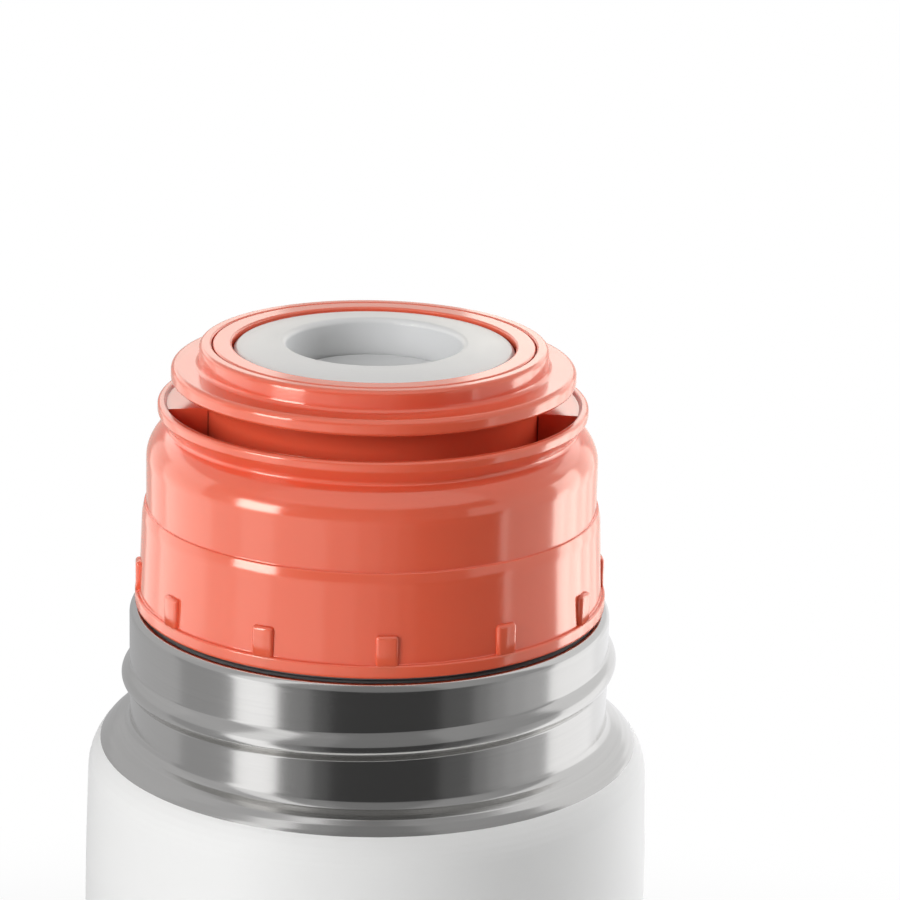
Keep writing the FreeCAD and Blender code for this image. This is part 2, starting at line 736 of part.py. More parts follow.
def valve_stem():
    """Push rod from the button to the valve, with a clip groove and a hole for the valve screw."""
    clip_top = BUTTON_BOSS_Z - CLIP_GAP
    clip_low = clip_top - CLIP_THICKNESS - FIT
    groove = STEM_RADIUS - CLIP_DEPTH
    hole = SCREW_SHANK_RADIUS + FIT
    hole_top = VALVE_END_Z + SCREW_SHANK_LENGTH + FIT
    return turned(
        [
            (hole, VALVE_END_Z),
            (STEM_RADIUS, VALVE_END_Z),
            (STEM_RADIUS, clip_low),
            (groove, clip_low),
            (groove, clip_top),
            (STEM_RADIUS, clip_top),
            (STEM_RADIUS, STEM_TOP_Z),
            (0, STEM_TOP_Z),
            (0, hole_top),
            (hole, hole_top),
        ]
    )


def stem_clip():
    """Spring clip in the stem's groove, under the button's boss."""
    top = BUTTON_BOSS_Z - CLIP_GAP - FIT / 2
    low = top - CLIP_THICKNESS
    inside = STEM_RADIUS - CLIP_DEPTH + FIT / 2
    ring = turned([(inside, low), (inside + CLIP_WIDTH, low), (inside + CLIP_WIDTH, top), (inside, top)])
    reach = 2 * (inside + CLIP_WIDTH)
    mouth = Part.makeBox(CLIP_MOUTH, reach, CLIP_THICKNESS, FreeCAD.Vector(-CLIP_MOUTH / 2, 0, low))
    return outward(ring.cut(mouth))


def stem_o_ring():
    """Silicone ring that keeps the drink out of the cup."""
    section = O_RING_SECTION / 2
    middle = CUP_FLOOR_Z - FIT / 2 - section
    return outward(Part.makeTorus(STEM_RADIUS + RING_FIT + section, section, FreeCAD.Vector(0, 0, middle)))


def gland_washer():
    """Washer that holds the stem's ring in place and carries the spring."""
    inside = STEM_RADIUS + RUN
    return turned(
        [
            (inside, CUP_FLOOR_Z),
            (WASHER_RADIUS, CUP_FLOOR_Z),
            (WASHER_RADIUS, WASHER_TOP_Z, WASHER_THICKNESS / 4),
            (inside, WASHER_TOP_Z),
        ]
    )


def return_spring():
    """Coil spring between the washer and the button, wound in half turns that each tilt upwards."""
    low = WASHER_TOP_Z + SPRING_WIRE + FIT / 2
    height = BUTTON_UNDER_Z - SPRING_WIRE - FIT / 2 - low
    halves = round(2 * SPRING_TURNS)
    rise = height / halves
    arcs = []
    for i in range(halves):
        side = 1 if i % 2 == 0 else -1
        start = FreeCAD.Vector(SPRING_RADIUS * side, 0, low + rise * i)
        end = FreeCAD.Vector(-SPRING_RADIUS * side, 0, low + rise * (i + 1))
        bow = FreeCAD.Vector(0, (end - start).Length / 2 * side, 0)
        arcs.append(Part.Arc(start, (start + end) / 2 + bow, end).toShape())
    wire = Part.Wire(Part.Circle(at(SPRING_RADIUS, low), FreeCAD.Vector(0, 1, 0), SPRING_WIRE).toShape())
    return outward(Part.Wire(arcs).makePipeShell([wire], True, False))


def valve_disc():
    """Disc under the port that carries the valve seal."""
    boss = VALVE_SEAL_INNER - FIT
    return turned(
        [
            (STEM_SLEEVE, VALVE_END_Z),
            (VALVE_RADIUS, VALVE_END_Z, VALVE_THICKNESS / 3),
            (VALVE_RADIUS, VALVE_Z),
            (boss, VALVE_Z),
            (boss, PLUG_END_Z - VALVE_BOSS_SHORT),
            (STEM_SLEEVE, PLUG_END_Z - VALVE_BOSS_SHORT),
        ]
    )


def valve_seal():
    """Silicone washer that closes the port from below."""
    outside = VALVE_RADIUS - VALVE_SEAL_INSET
    return turned(
        [
            (VALVE_SEAL_INNER, VALVE_Z),
            (outside, VALVE_Z),
            (outside, PLUG_END_Z),
            (VALVE_SEAL_INNER, PLUG_END_Z),
        ]
    )


def valve_screw():
    """Screw that holds the valve disc on the stem."""
    low = VALVE_END_Z - SCREW_HEAD_HEIGHT
    screw = turned(
        [
            (0, low),
            (SCREW_HEAD_RADIUS, low, SCREW_HEAD_HEIGHT / 3),
            (SCREW_HEAD_RADIUS, VALVE_END_Z),
            (SCREW_SHANK_RADIUS, VALVE_END_Z),
            (SCREW_SHANK_RADIUS, VALVE_END_Z + SCREW_SHANK_LENGTH),
            (0, VALVE_END_Z + SCREW_SHANK_LENGTH),
        ]
    )
    slot = Part.makeBox(
        2 * SCREW_HEAD_RADIUS,
        SCREW_SLOT_WIDTH,
        SCREW_SLOT_DEPTH,
        FreeCAD.Vector(-SCREW_HEAD_RADIUS, -SCREW_SLOT_WIDTH / 2, low),
    )
    return outward(screw.cut(slot))


PIECES = [
    neck_shell,
    outer_body,
    inner_vessel,
    radiation_foil,
    outer_base,
    vacuum_seal,
    getter,
    base_pad,
    neck_gasket,
    stopper_shell,
    stopper_plug,
    shell_seal,
    top_cap,
    collar_ring,
    bezel_ring,
    push_button,
    valve_stem,
    stem_clip,
    stem_o_ring,
    gland_washer,
    return_spring,
    valve_disc,
    valve_seal,
    valve_screw,
]


def main():
    """Builds each piece and writes it to its own file."""
    os.makedirs("parts", exist_ok=True)
    for piece in PIECES:
        solid = piece()
        print(f"{piece.__name__}: valid {solid.isValid()}, {solid.Volume:.1f} mm3")
        solid.exportStep(f"parts/{piece.__name__}.step")


main()
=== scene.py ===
"""Scene of a vacuum flask: its pieces, finishes, studio and camera, laid out as an add-on.

Lengths are in metres, with +Z up and the front of the flask towards -Y. Angles round the
axis are measured from the front, positive towards +X.
"""

import json
import math

import bmesh
import bpy
from mathutils import Matrix, Quaternion, Vector

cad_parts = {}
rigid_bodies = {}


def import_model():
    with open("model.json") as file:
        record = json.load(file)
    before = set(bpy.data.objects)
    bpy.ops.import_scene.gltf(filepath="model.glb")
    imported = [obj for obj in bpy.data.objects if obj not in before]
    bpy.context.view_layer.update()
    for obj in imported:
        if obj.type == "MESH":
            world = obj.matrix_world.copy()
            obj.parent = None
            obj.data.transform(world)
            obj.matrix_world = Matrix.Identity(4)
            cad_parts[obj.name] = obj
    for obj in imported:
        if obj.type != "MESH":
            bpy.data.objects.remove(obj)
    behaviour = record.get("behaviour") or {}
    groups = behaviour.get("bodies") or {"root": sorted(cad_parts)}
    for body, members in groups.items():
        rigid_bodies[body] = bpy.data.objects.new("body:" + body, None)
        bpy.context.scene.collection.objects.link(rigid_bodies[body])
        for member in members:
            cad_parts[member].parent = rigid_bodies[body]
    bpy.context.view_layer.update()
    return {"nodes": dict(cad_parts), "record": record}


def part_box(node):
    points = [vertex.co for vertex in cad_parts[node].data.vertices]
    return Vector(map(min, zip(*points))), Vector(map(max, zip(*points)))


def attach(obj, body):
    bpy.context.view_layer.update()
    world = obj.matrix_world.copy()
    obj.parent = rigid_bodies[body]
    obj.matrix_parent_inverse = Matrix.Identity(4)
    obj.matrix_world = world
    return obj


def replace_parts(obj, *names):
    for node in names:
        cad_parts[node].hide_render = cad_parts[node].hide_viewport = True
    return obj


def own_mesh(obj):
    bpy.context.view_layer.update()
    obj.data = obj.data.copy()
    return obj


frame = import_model()

bl_info = {
    "name": "Vacuum flask",
    "version": (1, 0, 0),
    "blender": (4, 5, 0),
    "location": "3D View > Sidebar > Flask",
    "description": "Builds a vacuum flask with a push-button pouring stopper",
    "category": "Object",
}

MM = 0.001
WALL = 0.6 * MM
FULL_TURN = 2 * math.pi
ORIGIN = Vector((0, 0, 0))
AXIS = Vector((0, 0, 1))

# Fineness of the meshes
STEPS = 240  # steps of a full turn about the axis
ARC_STEP = math.radians(9)  # most that a segment of a rounded corner turns
LEAST_ARC = 4  # fewest segments of a rounded corner
EDGE_SEGMENTS = 3  # segments of a rounded edge on a lug or spoke
SPRING_STEPS = 48  # steps of a turn of the spring
WIRE_SIDES = 14  # sides of the spring's wire
CARD_STEPS = 48  # steps of a reflected card
SUPPORT = 0.12 * MM  # from a corner to the row that keeps its shading crisp
LEAST_RUN = 6 * SUPPORT  # shortest run that gets such rows
ROW = 0.2 * MM  # between the rows that the neck's thread is pressed from
SHARP = math.radians(38)  # angle from which an edge is shaded sharp
MERGE = 1e-7  # distance under which points are one

RECORD = frame["record"]
SLOT_OF = {part["node"]: part["material_slot"] for part in RECORD["subparts"]}
BODY_OF = {node: body for body, nodes in RECORD["behaviour"]["bodies"].items() for node in nodes}


# Values read from the frame
def top(node):
    """Height of the node's highest point."""
    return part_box(node)[1].z


def low(node):
    """Height of the node's lowest point."""
    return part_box(node)[0].z


def half_width(node):
    """The node's largest radius."""
    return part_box(node)[1].x


# Kinds of property
def length(name, description, default):
    """A length in metres."""
    return bpy.props.FloatProperty(
        name=name, description=description, default=default, unit="LENGTH", precision=5
    )


def mm(name, description, millimetres):
    """A length, given in millimetres."""
    return length(name, description, millimetres * MM)


def angle(name, description, degrees):
    """An angle, given in degrees."""
    return bpy.props.FloatProperty(
        name=name, description=description, default=math.radians(degrees), subtype="ANGLE"
    )


def count(name, description, default):
    """A whole number of at least one."""
    return bpy.props.IntProperty(name=name, description=description, default=default, min=1)


def number(name, description, default):
    """A plain number of at least zero."""
    return bpy.props.FloatProperty(name=name, description=description, default=default, min=0)


def linear(code):
    """An sRGB colour such as #DE6E56 as linear light, by the standard's curve."""
    parts = [int(code[i : i + 2], 16) / 255 for i in (1, 3, 5)]
    return tuple(p / 12.92 if p <= 0.04045 else ((p + 0.055) / 1.055) ** 2.4 for p in parts)


def colour(name, description, code):
    """A colour, given as an sRGB code."""
    return bpy.props.FloatVectorProperty(
        name=name, description=description, default=linear(code), subtype="COLOR", min=0, max=1
    )


class FlaskSizes(bpy.types.PropertyGroup):
    """Sizes of the flask under its stopper."""

    rim_z: length("Rim", "Height of the steel rim", top("neck_shell"))
    paint_z: length("Paint line", "Height at which the paint ends", low("neck_shell"))
    foot_z: length("Foot", "Height of the underside of the steel foot", low("outer_body"))
    body_radius: length("Body radius", "Radius of the painted body", half_width("outer_body"))
    wall: length("Wall", "Thickness of the steel", WALL)
    body_taper: mm("Body taper", "How much narrower the body is under its shoulder", 0.75)
    taper_length: mm("Taper length", "Height over which the body narrows", 22.0)
    taper_rounding: mm("Taper rounding", "Radius between the taper and the body", 500.0)
    shoulder_slope: angle("Shoulder slope", "Slope of the shoulder under the neck", 22.5)
    shoulder_rounding: mm("Shoulder rounding", "Radius of the shoulder", 7.0)
    neck_radius: mm("Neck radius", "Radius of the neck beside its thread", 31.35)
    neck_length: mm("Neck length", "Height of the neck from its cove to the rim", 15.9)
    neck_bore: mm("Neck bore", "Radius of the mouth", 28.7)
    cove_rounding: mm("Cove rounding", "Radius of the hollow at the neck's foot", 1.4)
    rim_rounding: mm("Rim rounding", "Radius of the rim's outer edge", 1.1)
    foot_rounding: mm("Foot rounding", "Radius of the foot's edge", 3.5)
    foot_turn_in: mm("Foot turn-in", "Width of the foot's flat", 7.0)
    bead_height: mm("Thread height", "Height of the rolled thread on the neck", 1.05)
    bead_width: mm("Thread width", "Width of the rolled thread on the neck", 3.7)
    bead_drop: mm("Thread drop", "How far the thread is under the rim at the front", 8.1)
    bead_power: number("Thread fullness", "Power that shapes the thread's section", 1.25)
    bead_lead: mm("Thread lead", "Rise of the rolled thread in one turn", 5.4)
    bead_reach: angle("Thread reach", "Angle from the front to each end of the thread", 150.0)
    bead_fade: angle("Thread fade", "Angle over which each end of the thread fades out", 32.0)
    vessel_radius: length("Vessel radius", "Inside radius", half_width("inner_vessel") - WALL)
    vessel_floor: length("Vessel floor", "Height of its floor inside", low("inner_vessel") + WALL)
    vessel_neck: mm("Vessel neck", "Height of the vessel's neck", 18.9)
    vessel_shoulder: mm("Vessel shoulder", "Height of the vessel's shoulder", 6.0)
    vessel_rounding: mm("Vessel rounding", "Radius of the vessel's floor corner", 9.0)
    pad_radius: length("Pad radius", "Radius of the soft pad in the foot", half_width("base_pad"))
    pad_top: length("Pad top", "Height of the pad's upper face", top("base_pad"))
    pad_tread: mm("Pad tread", "Width of the ring that the flask stands on", 7.5)
    pad_recess: mm("Pad recess", "Depth of the hollow inside the tread", 0.5)


class ScrewSizes(bpy.types.PropertyGroup):
    """Sizes of the screw thread between neck and stopper."""

    lead: mm("Lead", "Rise of the screw thread in one turn", 5.5)
    turns: number("Turns", "Number of turns of the screw thread", 1.25)
    depth: mm("Depth", "Height of the screw thread", 1.3)
    root_width: mm("Root width", "Width of the thread at its root", 3.0)
    crest_width: mm("Crest width", "Width of the thread at its crest", 1.9)
    sink: mm("Sink", "How far the thread's root lies in the wall", 0.3)
    crest_gap: mm("Crest gap", "Room between the thread's crest and the other wall", 0.5)
    drop: mm("Drop", "How far the neck's thread starts under the rim", 12.0)
    fade: angle("Fade", "Angle over which each end runs out", 30.0)


class StopperSizes(bpy.types.PropertyGroup):
    """Sizes of the stopper's shell, plug and cap."""

    flange_z: length("Flange", "Height of the underside of the flange", low("stopper_shell"))
    flange_radius: length("Flange radius", "Radius of the flange", half_width("stopper_shell"))
    flange_height: mm("Flange height", "Thickness of the flange", 1.7)
    flange_proud: mm("Flange proud", "How far the flange stands out from the skirt", 0.55)
    lug_count: count("Lugs", "Number of grip lugs", 12)
    lug_width: mm("Lug width", "Width of a grip lug", 2.85)
    lug_height: mm("Lug height", "Height of a grip lug above the flange", 3.8)
    lug_inset: mm("Lug inset", "How far the lugs lie inside the flange", 0.1)
    lug_edge: mm("Lug edge", "Width of a lug's rounded edge", 0.45)
    lug_angle: angle("First lug", "Angle of the first lug from the front", 4.2)
    skirt_height: mm("Skirt height", "Height of the skirt above the flange", 11.6)
    skirt_taper: mm("Skirt taper", "How much the skirt narrows upwards", 0.4)
    skirt_step: mm("Skirt step", "Width of the step on top of the skirt", 0.55)
    skirt_edge: mm("Skirt edge", "Height of the soft edge under the step", 1.4)
    shoulder_fall: mm("Shoulder fall", "Fall of the shoulder under the groove", 1.5)
    shoulder_rounding: mm("Shoulder rounding", "Radius of the shell's shoulder", 4.8)
    lip_z: length("Lip", "Height of the pouring lip", top("stopper_shell"))
    lip_inset: mm("Lip inset", "How far the lip lies inside the shell", 1.45)
    lip_edge: mm("Lip edge", "Thickness of the lip's edge", 1.25)
    lip_flare: mm("Lip flare", "Width of the lip's flat top", 0.9)
    lip_wall: mm("Lip wall", "Thickness of the wall under the lip", 2.0)
    groove_depth: mm("Groove depth", "Depth of the hollow under the lip", 1.55)
    groove_height: mm("Groove height", "Height of the hollow under the lip", 1.9)
    groove_rounding: mm("Groove rounding", "Radius of the hollow's bottom", 0.5425)
    throat_length: mm("Throat length", "Height of the narrowest part of the throat", 1.5)
    mouth_reach: angle("Mouth reach", "Angle from the front to each end of the mouth", 80.0)
    web_drop: mm("Web drop", "How far the web behind the mouth lies under the lip", 0.4)
    shell_bore: mm("Shell bore", "Inside radius of the shell", 27.9)
    shell_ledge: mm("Shell ledge", "Width of the ledge over the plug", 0.5)
    fit: mm("Fit", "Gap between pieces that are pressed together", 0.1)
    recess_radius: mm("Gasket recess", "Radius of the recess for the neck gasket", 29.85)
    plug_radius: mm("Plug radius", "Radius of the plug beside its thread", 27.0)
    plug_wall: mm("Plug wall", "Thickness of the plug's wall and floor", 2.0)
    plug_collar: mm("Plug collar", "How far the plug's collar stands out", 0.8)
    plug_end: length("Plug end", "Height of the plug's lower end", low("stopper_plug"))
    plug_top: length("Plug top", "Height of the plug's upper end", top("stopper_plug"))
    port_radius: mm("Port radius", "Radius of the valve port", 9.0)
    hub_bore: mm("Hub bore", "Inside radius of the hub that takes the cap", 6.1)
    hub_wall: mm("Hub wall", "Thickness of the hub", 2.4)
    hub_height: mm("Hub height", "Height of the hub", 8.0)
    spoke_count: count("Spokes", "Number of spokes that carry the hub", 4)
    spoke_width: mm("Spoke width", "Thickness of a spoke", 2.2)
    spoke_height: mm("Spoke height", "Height of a spoke", 7.5)
    cup_radius: mm("Cup radius", "Radius of the cap's cup", 21.35)
    cup_wall: mm("Cup wall", "Thickness of the cup's wall", 1.8)
    cup_floor: mm("Cup floor", "Thickness of the cup's floor", 2.0)
    spigot_radius: mm("Spigot radius", "Radius of the spigot under the cup", 6.0)
    spigot_z: length("Spigot end", "Height of the spigot's lower end", low("top_cap"))
    spigot_length: mm("Spigot length", "Length of the spigot", 6.0)
    stem_bore: mm("Stem bore", "Radius of the hole for the stem", 3.15)
    gland_radius: mm("Gland radius", "Radius of the seat of the stem's ring", 4.98)
    gland_depth: mm("Gland depth", "Depth of the seat of the stem's ring", 1.9)
    brim_radius: length("Brim radius", "Radius of the brim", half_width("top_cap"))
    brim_gap: mm("Pouring gap", "Height of the slot between lip and brim", 2.7)
    brim_height: mm("Brim height", "Thickness of the brim", 2.1)
    cap_z: length("Cap top", "Height of the cap's top face", top("top_cap"))
    cap_band: mm("Cap band", "How far the cap's upper band stands out from the cup", 1.15)
    seat_radius: mm("Seat radius", "Radius of the seat for the collar", 20.8)
    seam: mm("Seam", "Radius of the edges along the seams of the top", 0.3)


class TopSizes(bpy.types.PropertyGroup):
    """Sizes of the collar, bezel, button, valve, gasket and spring."""

    collar_radius: length("Collar radius", "Outer radius of the collar", half_width("collar_ring"))
    collar_low: length("Collar underside", "Height of the collar's underside", low("collar_ring"))
    collar_z: length("Collar top", "Height of the collar's top face", top("collar_ring"))
    collar_bore: mm("Collar bore", "Inside radius of the collar's top", 18.2)
    collar_ledge: mm("Collar ledge", "Width of the ledge under the bezel", 2.08)
    bezel_radius: length("Bezel radius", "Outside radius of the bezel", half_width("bezel_ring"))
    bezel_z: length("Bezel top", "Height of the bezel at the button well", top("bezel_ring"))
    bezel_low: length("Bezel tube", "Height of the lower end of its tube", low("bezel_ring"))
    bezel_bore: mm("Button well", "Radius of the button well", 11.3)
    bezel_crown: mm("Bezel crown", "How far the bezel falls to its outer edge", 0.75)
    bezel_arch: mm("Bezel arch", "Radius of the bezel's crowned top", 25.0)
    bezel_chamfer: mm("Bezel chamfer", "Width of the bezel's outer chamfer", 0.4)
    bezel_height: mm("Bezel thickness", "Thickness of the bezel's ring", 2.2)
    bezel_skirt: mm("Bezel skirt", "Width of the bezel's outer skirt", 1.375)
    bezel_wall: mm("Tube wall", "Thickness of the bezel's tube", 1.7)
    seat_drop: mm("Seat drop", "How far the ledge lies under the collar's top", 3.6)
    well_rounding: mm("Well rounding", "Radius of the button well's edge", 0.73)
    button_z: length("Button top", "Height of the button's rim", top("push_button"))
    button_low: length("Button foot", "Height of the button's lower end", low("push_button"))
    button_radius: mm("Button radius", "Radius of the button", 11.0)
    button_dish: mm("Button dish", "Depth of the button's hollow", 0.9)
    button_wall: mm("Button wall", "Thickness of the button's skirt", 1.8)
    button_top: mm("Button thickness", "Thickness of the button's top", 2.6)
    stop_width: mm("Stop width", "How far the button's stop stands out", 1.4)
    stop_height: mm("Stop height", "Height of the button's stop", 1.2)
    boss_radius: mm("Boss radius", "Radius of the button's boss", 5.05)
    boss_length: mm("Boss length", "Length of the button's boss", 4.4)
    stem_radius: mm("Stem sleeve", "Radius of the hole that takes the stem", 3.05)
    stem_socket: mm("Stem socket", "Depth of the hole that takes the stem", 5.0)
    gasket_bore: mm("Gasket bore", "Inside radius of the neck gasket", 27.3)
    gasket_edge: mm("Gasket edge", "Radius of the gasket's edges", 0.35)
    valve_hole: mm("Valve hole", "Inside radius of the valve seal", 7.0)
    valve_edge: mm("Valve edge", "Radius of the valve disc's lower edge", 0.83)
    valve_fit: mm("Valve fit", "Gap between the valve disc and its seal", 0.1)
    seal_edge: mm("Seal edge", "Radius of the valve seal's edges", 0.3)
    spring_radius: mm("Spring radius", "Radius of the coil to its wire's middle", 7.2)
    spring_wire: mm("Spring wire", "Radius of the spring's wire", 0.55)
    spring_turns: number("Spring turns", "Number of turns of the coil", 6.5)


class Finishes(bpy.types.PropertyGroup):
    """Colours of the finishes."""

    coral: colour("Coral", "Colour of the stopper's glossy plastic", "#E35F42")
    grey: colour("Grey", "Colour of the bezel and the button", "#D4D5D6")
    pale: colour("Pale", "Colour of the plug and the valve", "#DCDBD6")
    steel: colour("Steel", "Colour of the bare steel", "#D3D2CF")
    white: colour("White", "Colour of the body's paint", "#EDEDEC")
    silicone: colour("Silicone", "Colour of the seals", "#C9CAC7")
    # Dark grey of the pad. On the neck gasket this colour is painted shade that darkens the gap
    # above the rim.
    pad: colour("Pad", "Colour of the foot's pad and the neck gasket", "#474749")
    copper: colour("Copper", "Colour of the foil in the vacuum", "#D79A78")
    getter: colour("Getter", "Colour of the getter tablet", "#4D4D4F")


class StudioSettings(bpy.types.PropertyGroup):
    """Settings of the light and the camera."""

    key_power: number("Key power", "Watts of the soft light at the front left", 6.5)
    top_power: number("Top power", "Watts of the soft light overhead", 1.6)
    fill_power: number("Fill power", "Watts of the soft light at the right", 6.5)
    ambient: number("Ambient", "Brightness of the light from all round", 0.27)
    lens: number("Lens", "Focal length in millimetres on a 36 mm frame", 146.5)
    roll: angle("Roll", "How far the camera leans", 1.35)


# Mesh tools
def rounded_corner(bm, vert, radius):
    """Bevels a corner of a wire, cut as deep as an arc of that radius."""
    one, two = [edge.other_vert(vert).co - vert.co for edge in vert.link_edges]
    half = one.angle(two) / 2
    reach = radius * (1 / math.sin(half) - 1) / ((2 - math.sqrt(2)) * math.cos(half))
    bmesh.ops.bevel(
        bm,
        geom=[vert],
        offset=reach,
        offset_type="OFFSET",
        affect="VERTICES",
        segments=max(LEAST_ARC, math.ceil((math.pi - 2 * half) / ARC_STEP)),
        profile=0.5,
        material=-1,
    )


def wire(points, closed=True):
    """A wire through (radius, height) or (radius, height, rounding) points."""
    bm = bmesh.new()
    verts = [bm.verts.new((point[0], 0, point[1])) for point in points]
    ends = verts[1:] + verts[:1] if closed else verts[1:]
    for one, two in zip(verts, ends):
        bm.edges.new((one, two))
    for vert, point in zip(verts, points):
        if len(point) > 2:
            rounded_corner(bm, vert, point[2])
    for edge in bm.edges[:]:
        if edge.calc_length() > LEAST_RUN:
            first, last = edge.verts
            bmesh.utils.edge_split(edge, first, SUPPORT / edge.calc_length())
            bmesh.utils.edge_split(edge, last, SUPPORT / edge.calc_length())
    return bm


def spun(bm, steps=STEPS):
    """Turns a wire once about Z."""
    geom = bm.verts[:] + bm.edges[:]
    bmesh.ops.spin(
        bm, geom=geom, cent=ORIGIN, axis=AXIS, angle=FULL_TURN, steps=steps, use_merge=True
    )
    bmesh.ops.remove_doubles(bm, verts=bm.verts, dist=MERGE)
    bmesh.ops.recalc_face_normals(bm, faces=bm.faces)
    return bm


def ring(inside, outside, under, over, edge):
    """The outline of a plain ring with rounded edges."""
    return [
        (inside, under, edge),
        (outside, under, edge),
        (outside, over, edge),
        (inside, over, edge),
    ]


def turned(points, closed=True, steps=STEPS):
    """A turned form with this outline."""
    return spun(wire(points, closed), steps)


def kept(bm, height, above):
    """Cuts the mesh level at that height and keeps what is above or below."""
    geom = bm.verts[:] + bm.edges[:] + bm.faces[:]
    place = AXIS * height
    bmesh.ops.bisect_plane(
        bm, geom=geom, plane_co=place, plane_no=AXIS, clear_inner=above, clear_outer=not above
    )


def thickened(bm, thickness):
    """Gives a sheet its thickness, inwards, or outwards where it is negative."""
    bmesh.ops.solidify(bm, geom=bm.faces[:], thickness=thickness)
    bmesh.ops.recalc_face_normals(bm, faces=bm.faces)
    return bm


def from_front(vert):
    """Angle of a vertex round the axis, from the front towards +X."""
    return math.atan2(vert.co.x, -vert.co.y)


def eased(share):
    """0 to 1 with a smooth start and end."""
    share = min(1.0, max(0.0, share))
    return share * share * (3 - 2 * share)


def moved_out(vert, radius):
    """Moves a vertex to that radius."""
    vert.co.xy *= radius / vert.co.xy.length


def bevelled(bm, edges, width):
    """Rounds edges off."""
    bmesh.ops.bevel(
        bm,
        geom=edges,
        offset=width,
        affect="EDGES",
        segments=EDGE_SEGMENTS,
        profile=0.5,
        material=-1,
    )


def joined(bm, *others):
    """Adds other meshes to the first."""
    for other in others:
        mesh = bpy.data.meshes.new("added")
        other.to_mesh(mesh)
        other.free()
        bm.from_mesh(mesh)
        bpy.data.meshes.remove(mesh)
    return bm


def swept(bm, sweep, steps, rise=0.0):
    """Turns a face about Z, rising on the way, into a solid with both its ends."""
    bmesh.ops.contextual_create(bm, geom=bm.edges[:])
    bmesh.ops.duplicate(bm, geom=bm.faces[:])
    geom = bm.faces[:1]
    step = AXIS * (rise / steps)
    bmesh.ops.spin(bm, geom=geom, cent=ORIGIN, axis=AXIS, dvec=step, angle=sweep, steps=steps)
    bmesh.ops.remove_doubles(bm, verts=bm.verts, dist=MERGE)
    bmesh.ops.recalc_face_normals(bm, faces=bm.faces)
    return bm


def screw_ridge(screw, root, crest, start):
    """A ridge of the screw thread, with ends that run out."""
    half_root, half_crest = screw.root_width / 2, screw.crest_width / 2
    section = [(root, -half_root), (crest, -half_crest), (crest, half_crest), (root, half_root)]
    bm = bmesh.new()
    verts = [bm.verts.new((0, -radius, start + height)) for radius, height in section]
    for pair in zip(verts, verts[1:] + verts[:1]):
        bm.edges.new(pair)
    swept(bm, FULL_TURN * screw.turns, round(STEPS * screw.turns), screw.lead * screw.turns)
    for vert in bm.verts:
        turn = from_front(vert) / FULL_TURN
        turn += round((vert.co.z - start) / screw.lead - turn)
        share = min(turn, screw.turns - turn) * FULL_TURN / screw.fade
        moved_out(vert, root + (vert.co.xy.length - root) * eased(share))
    return bm


def new_object(name, bm, material):
    """Makes the mesh an object of the scene."""
    mesh = bpy.data.meshes.new(name)
    bm.to_mesh(mesh)
    bm.free()
    mesh.materials.append(material)
    obj = bpy.data.objects.new(name, mesh)
    bpy.context.scene.collection.objects.link(obj)
    return obj


def piece(name, bm, *nodes):
    """Makes the mesh a piece that stands for these CAD nodes, with their body and the finish of
    their slot.
    """
    obj = new_object(name, bm, finish(SLOT_OF[nodes[0]]))
    obj.data.shade_smooth()
    obj.data.set_sharp_from_angle(angle=SHARP)
    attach(obj, BODY_OF[nodes[0]])
    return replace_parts(obj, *nodes)


# Finishes
NOISE_LOW, NOISE_HIGH = 0.25, 0.75  # values that noise mostly lies between


def node(tree, kind, inputs=None, **settings):
    """Adds a node with its settings, and links or sets its inputs by name or number."""
    made = tree.nodes.new("ShaderNode" + kind)
    for name, value in settings.items():
        setattr(made, name, value)
    for socket, value in (inputs or {}).items():
        if isinstance(value, bpy.types.NodeSocket):
            tree.links.new(value, made.inputs[socket])
        else:
            made.inputs[socket].default_value = value
    return made


def blank(name):
    """A new material and its empty node tree."""
    material = bpy.data.materials.new(name)
    material.use_nodes = True
    tree = material.node_tree
    tree.nodes.clear()
    return material, tree


def wander(tree, vector, grain, lowest, highest):
    """A value that wanders between two values over grains of that size."""
    noise = node(tree, "TexNoise", {"Vector": vector, "Scale": 1 / grain, "Detail": 2.0})
    inputs = {0: noise.outputs["Fac"], 1: NOISE_LOW, 2: NOISE_HIGH, 3: lowest, 4: highest}
    return node(tree, "MapRange", inputs).outputs["Result"]


def surface(name, tint, shade, grain, bump, depth, roughness, stretch=None, **constants):
    """A material whose colour, roughness and surface all wander a little.

    The colour wanders by the share shade over each grain, and the roughness over a third of it.
    The surface has bumps of that size and depth. All three are in millimetres. Stretch packs
    them closer along each axis, or draws them out.
    """
    material, tree = blank(name)
    place = node(tree, "TexCoord").outputs["Object"]
    if stretch:
        place = node(tree, "Mapping", {"Vector": place, "Scale": stretch}).outputs["Vector"]
    value = wander(tree, place, grain * MM, 1 - shade, 1 + shade)
    base = node(tree, "HueSaturation", {"Value": value, "Color": (*tint, 1)})
    height = node(tree, "TexNoise", {"Vector": place, "Scale": 1 / (bump * MM), "Detail": 3.0})
    inputs = {"Height": height.outputs["Fac"], "Distance": depth * MM, "Strength": 1.0}
    relief = node(tree, "Bump", inputs)
    inputs = {
        "Base Color": base.outputs["Color"],
        "Roughness": wander(tree, place, grain * MM / 3, *roughness),
        "Normal": relief.outputs["Normal"],
        **constants,
    }
    shader = node(tree, "BsdfPrincipled", inputs)
    node(tree, "OutputMaterial", {"Surface": shader.outputs["BSDF"]})
    return material


def glow(weight, reach, scale):
    """The shader's inputs for light that goes a little way into the material."""
    return {
        "Subsurface Weight": weight,
        "Subsurface Radius": reach,
        "Subsurface Scale": scale * MM,
    }


def glossy_coral_plastic(name, colours):
    """Gives the stopper its glossy moulded skin, with a faint ripple in its reflections."""
    return surface(
        name, colours.coral, shade=0.02, grain=25, bump=1.6, depth=0.002, roughness=(0.12, 0.16),
        **glow(0.2, (1.0, 0.3, 0.2), 2.0),
    )


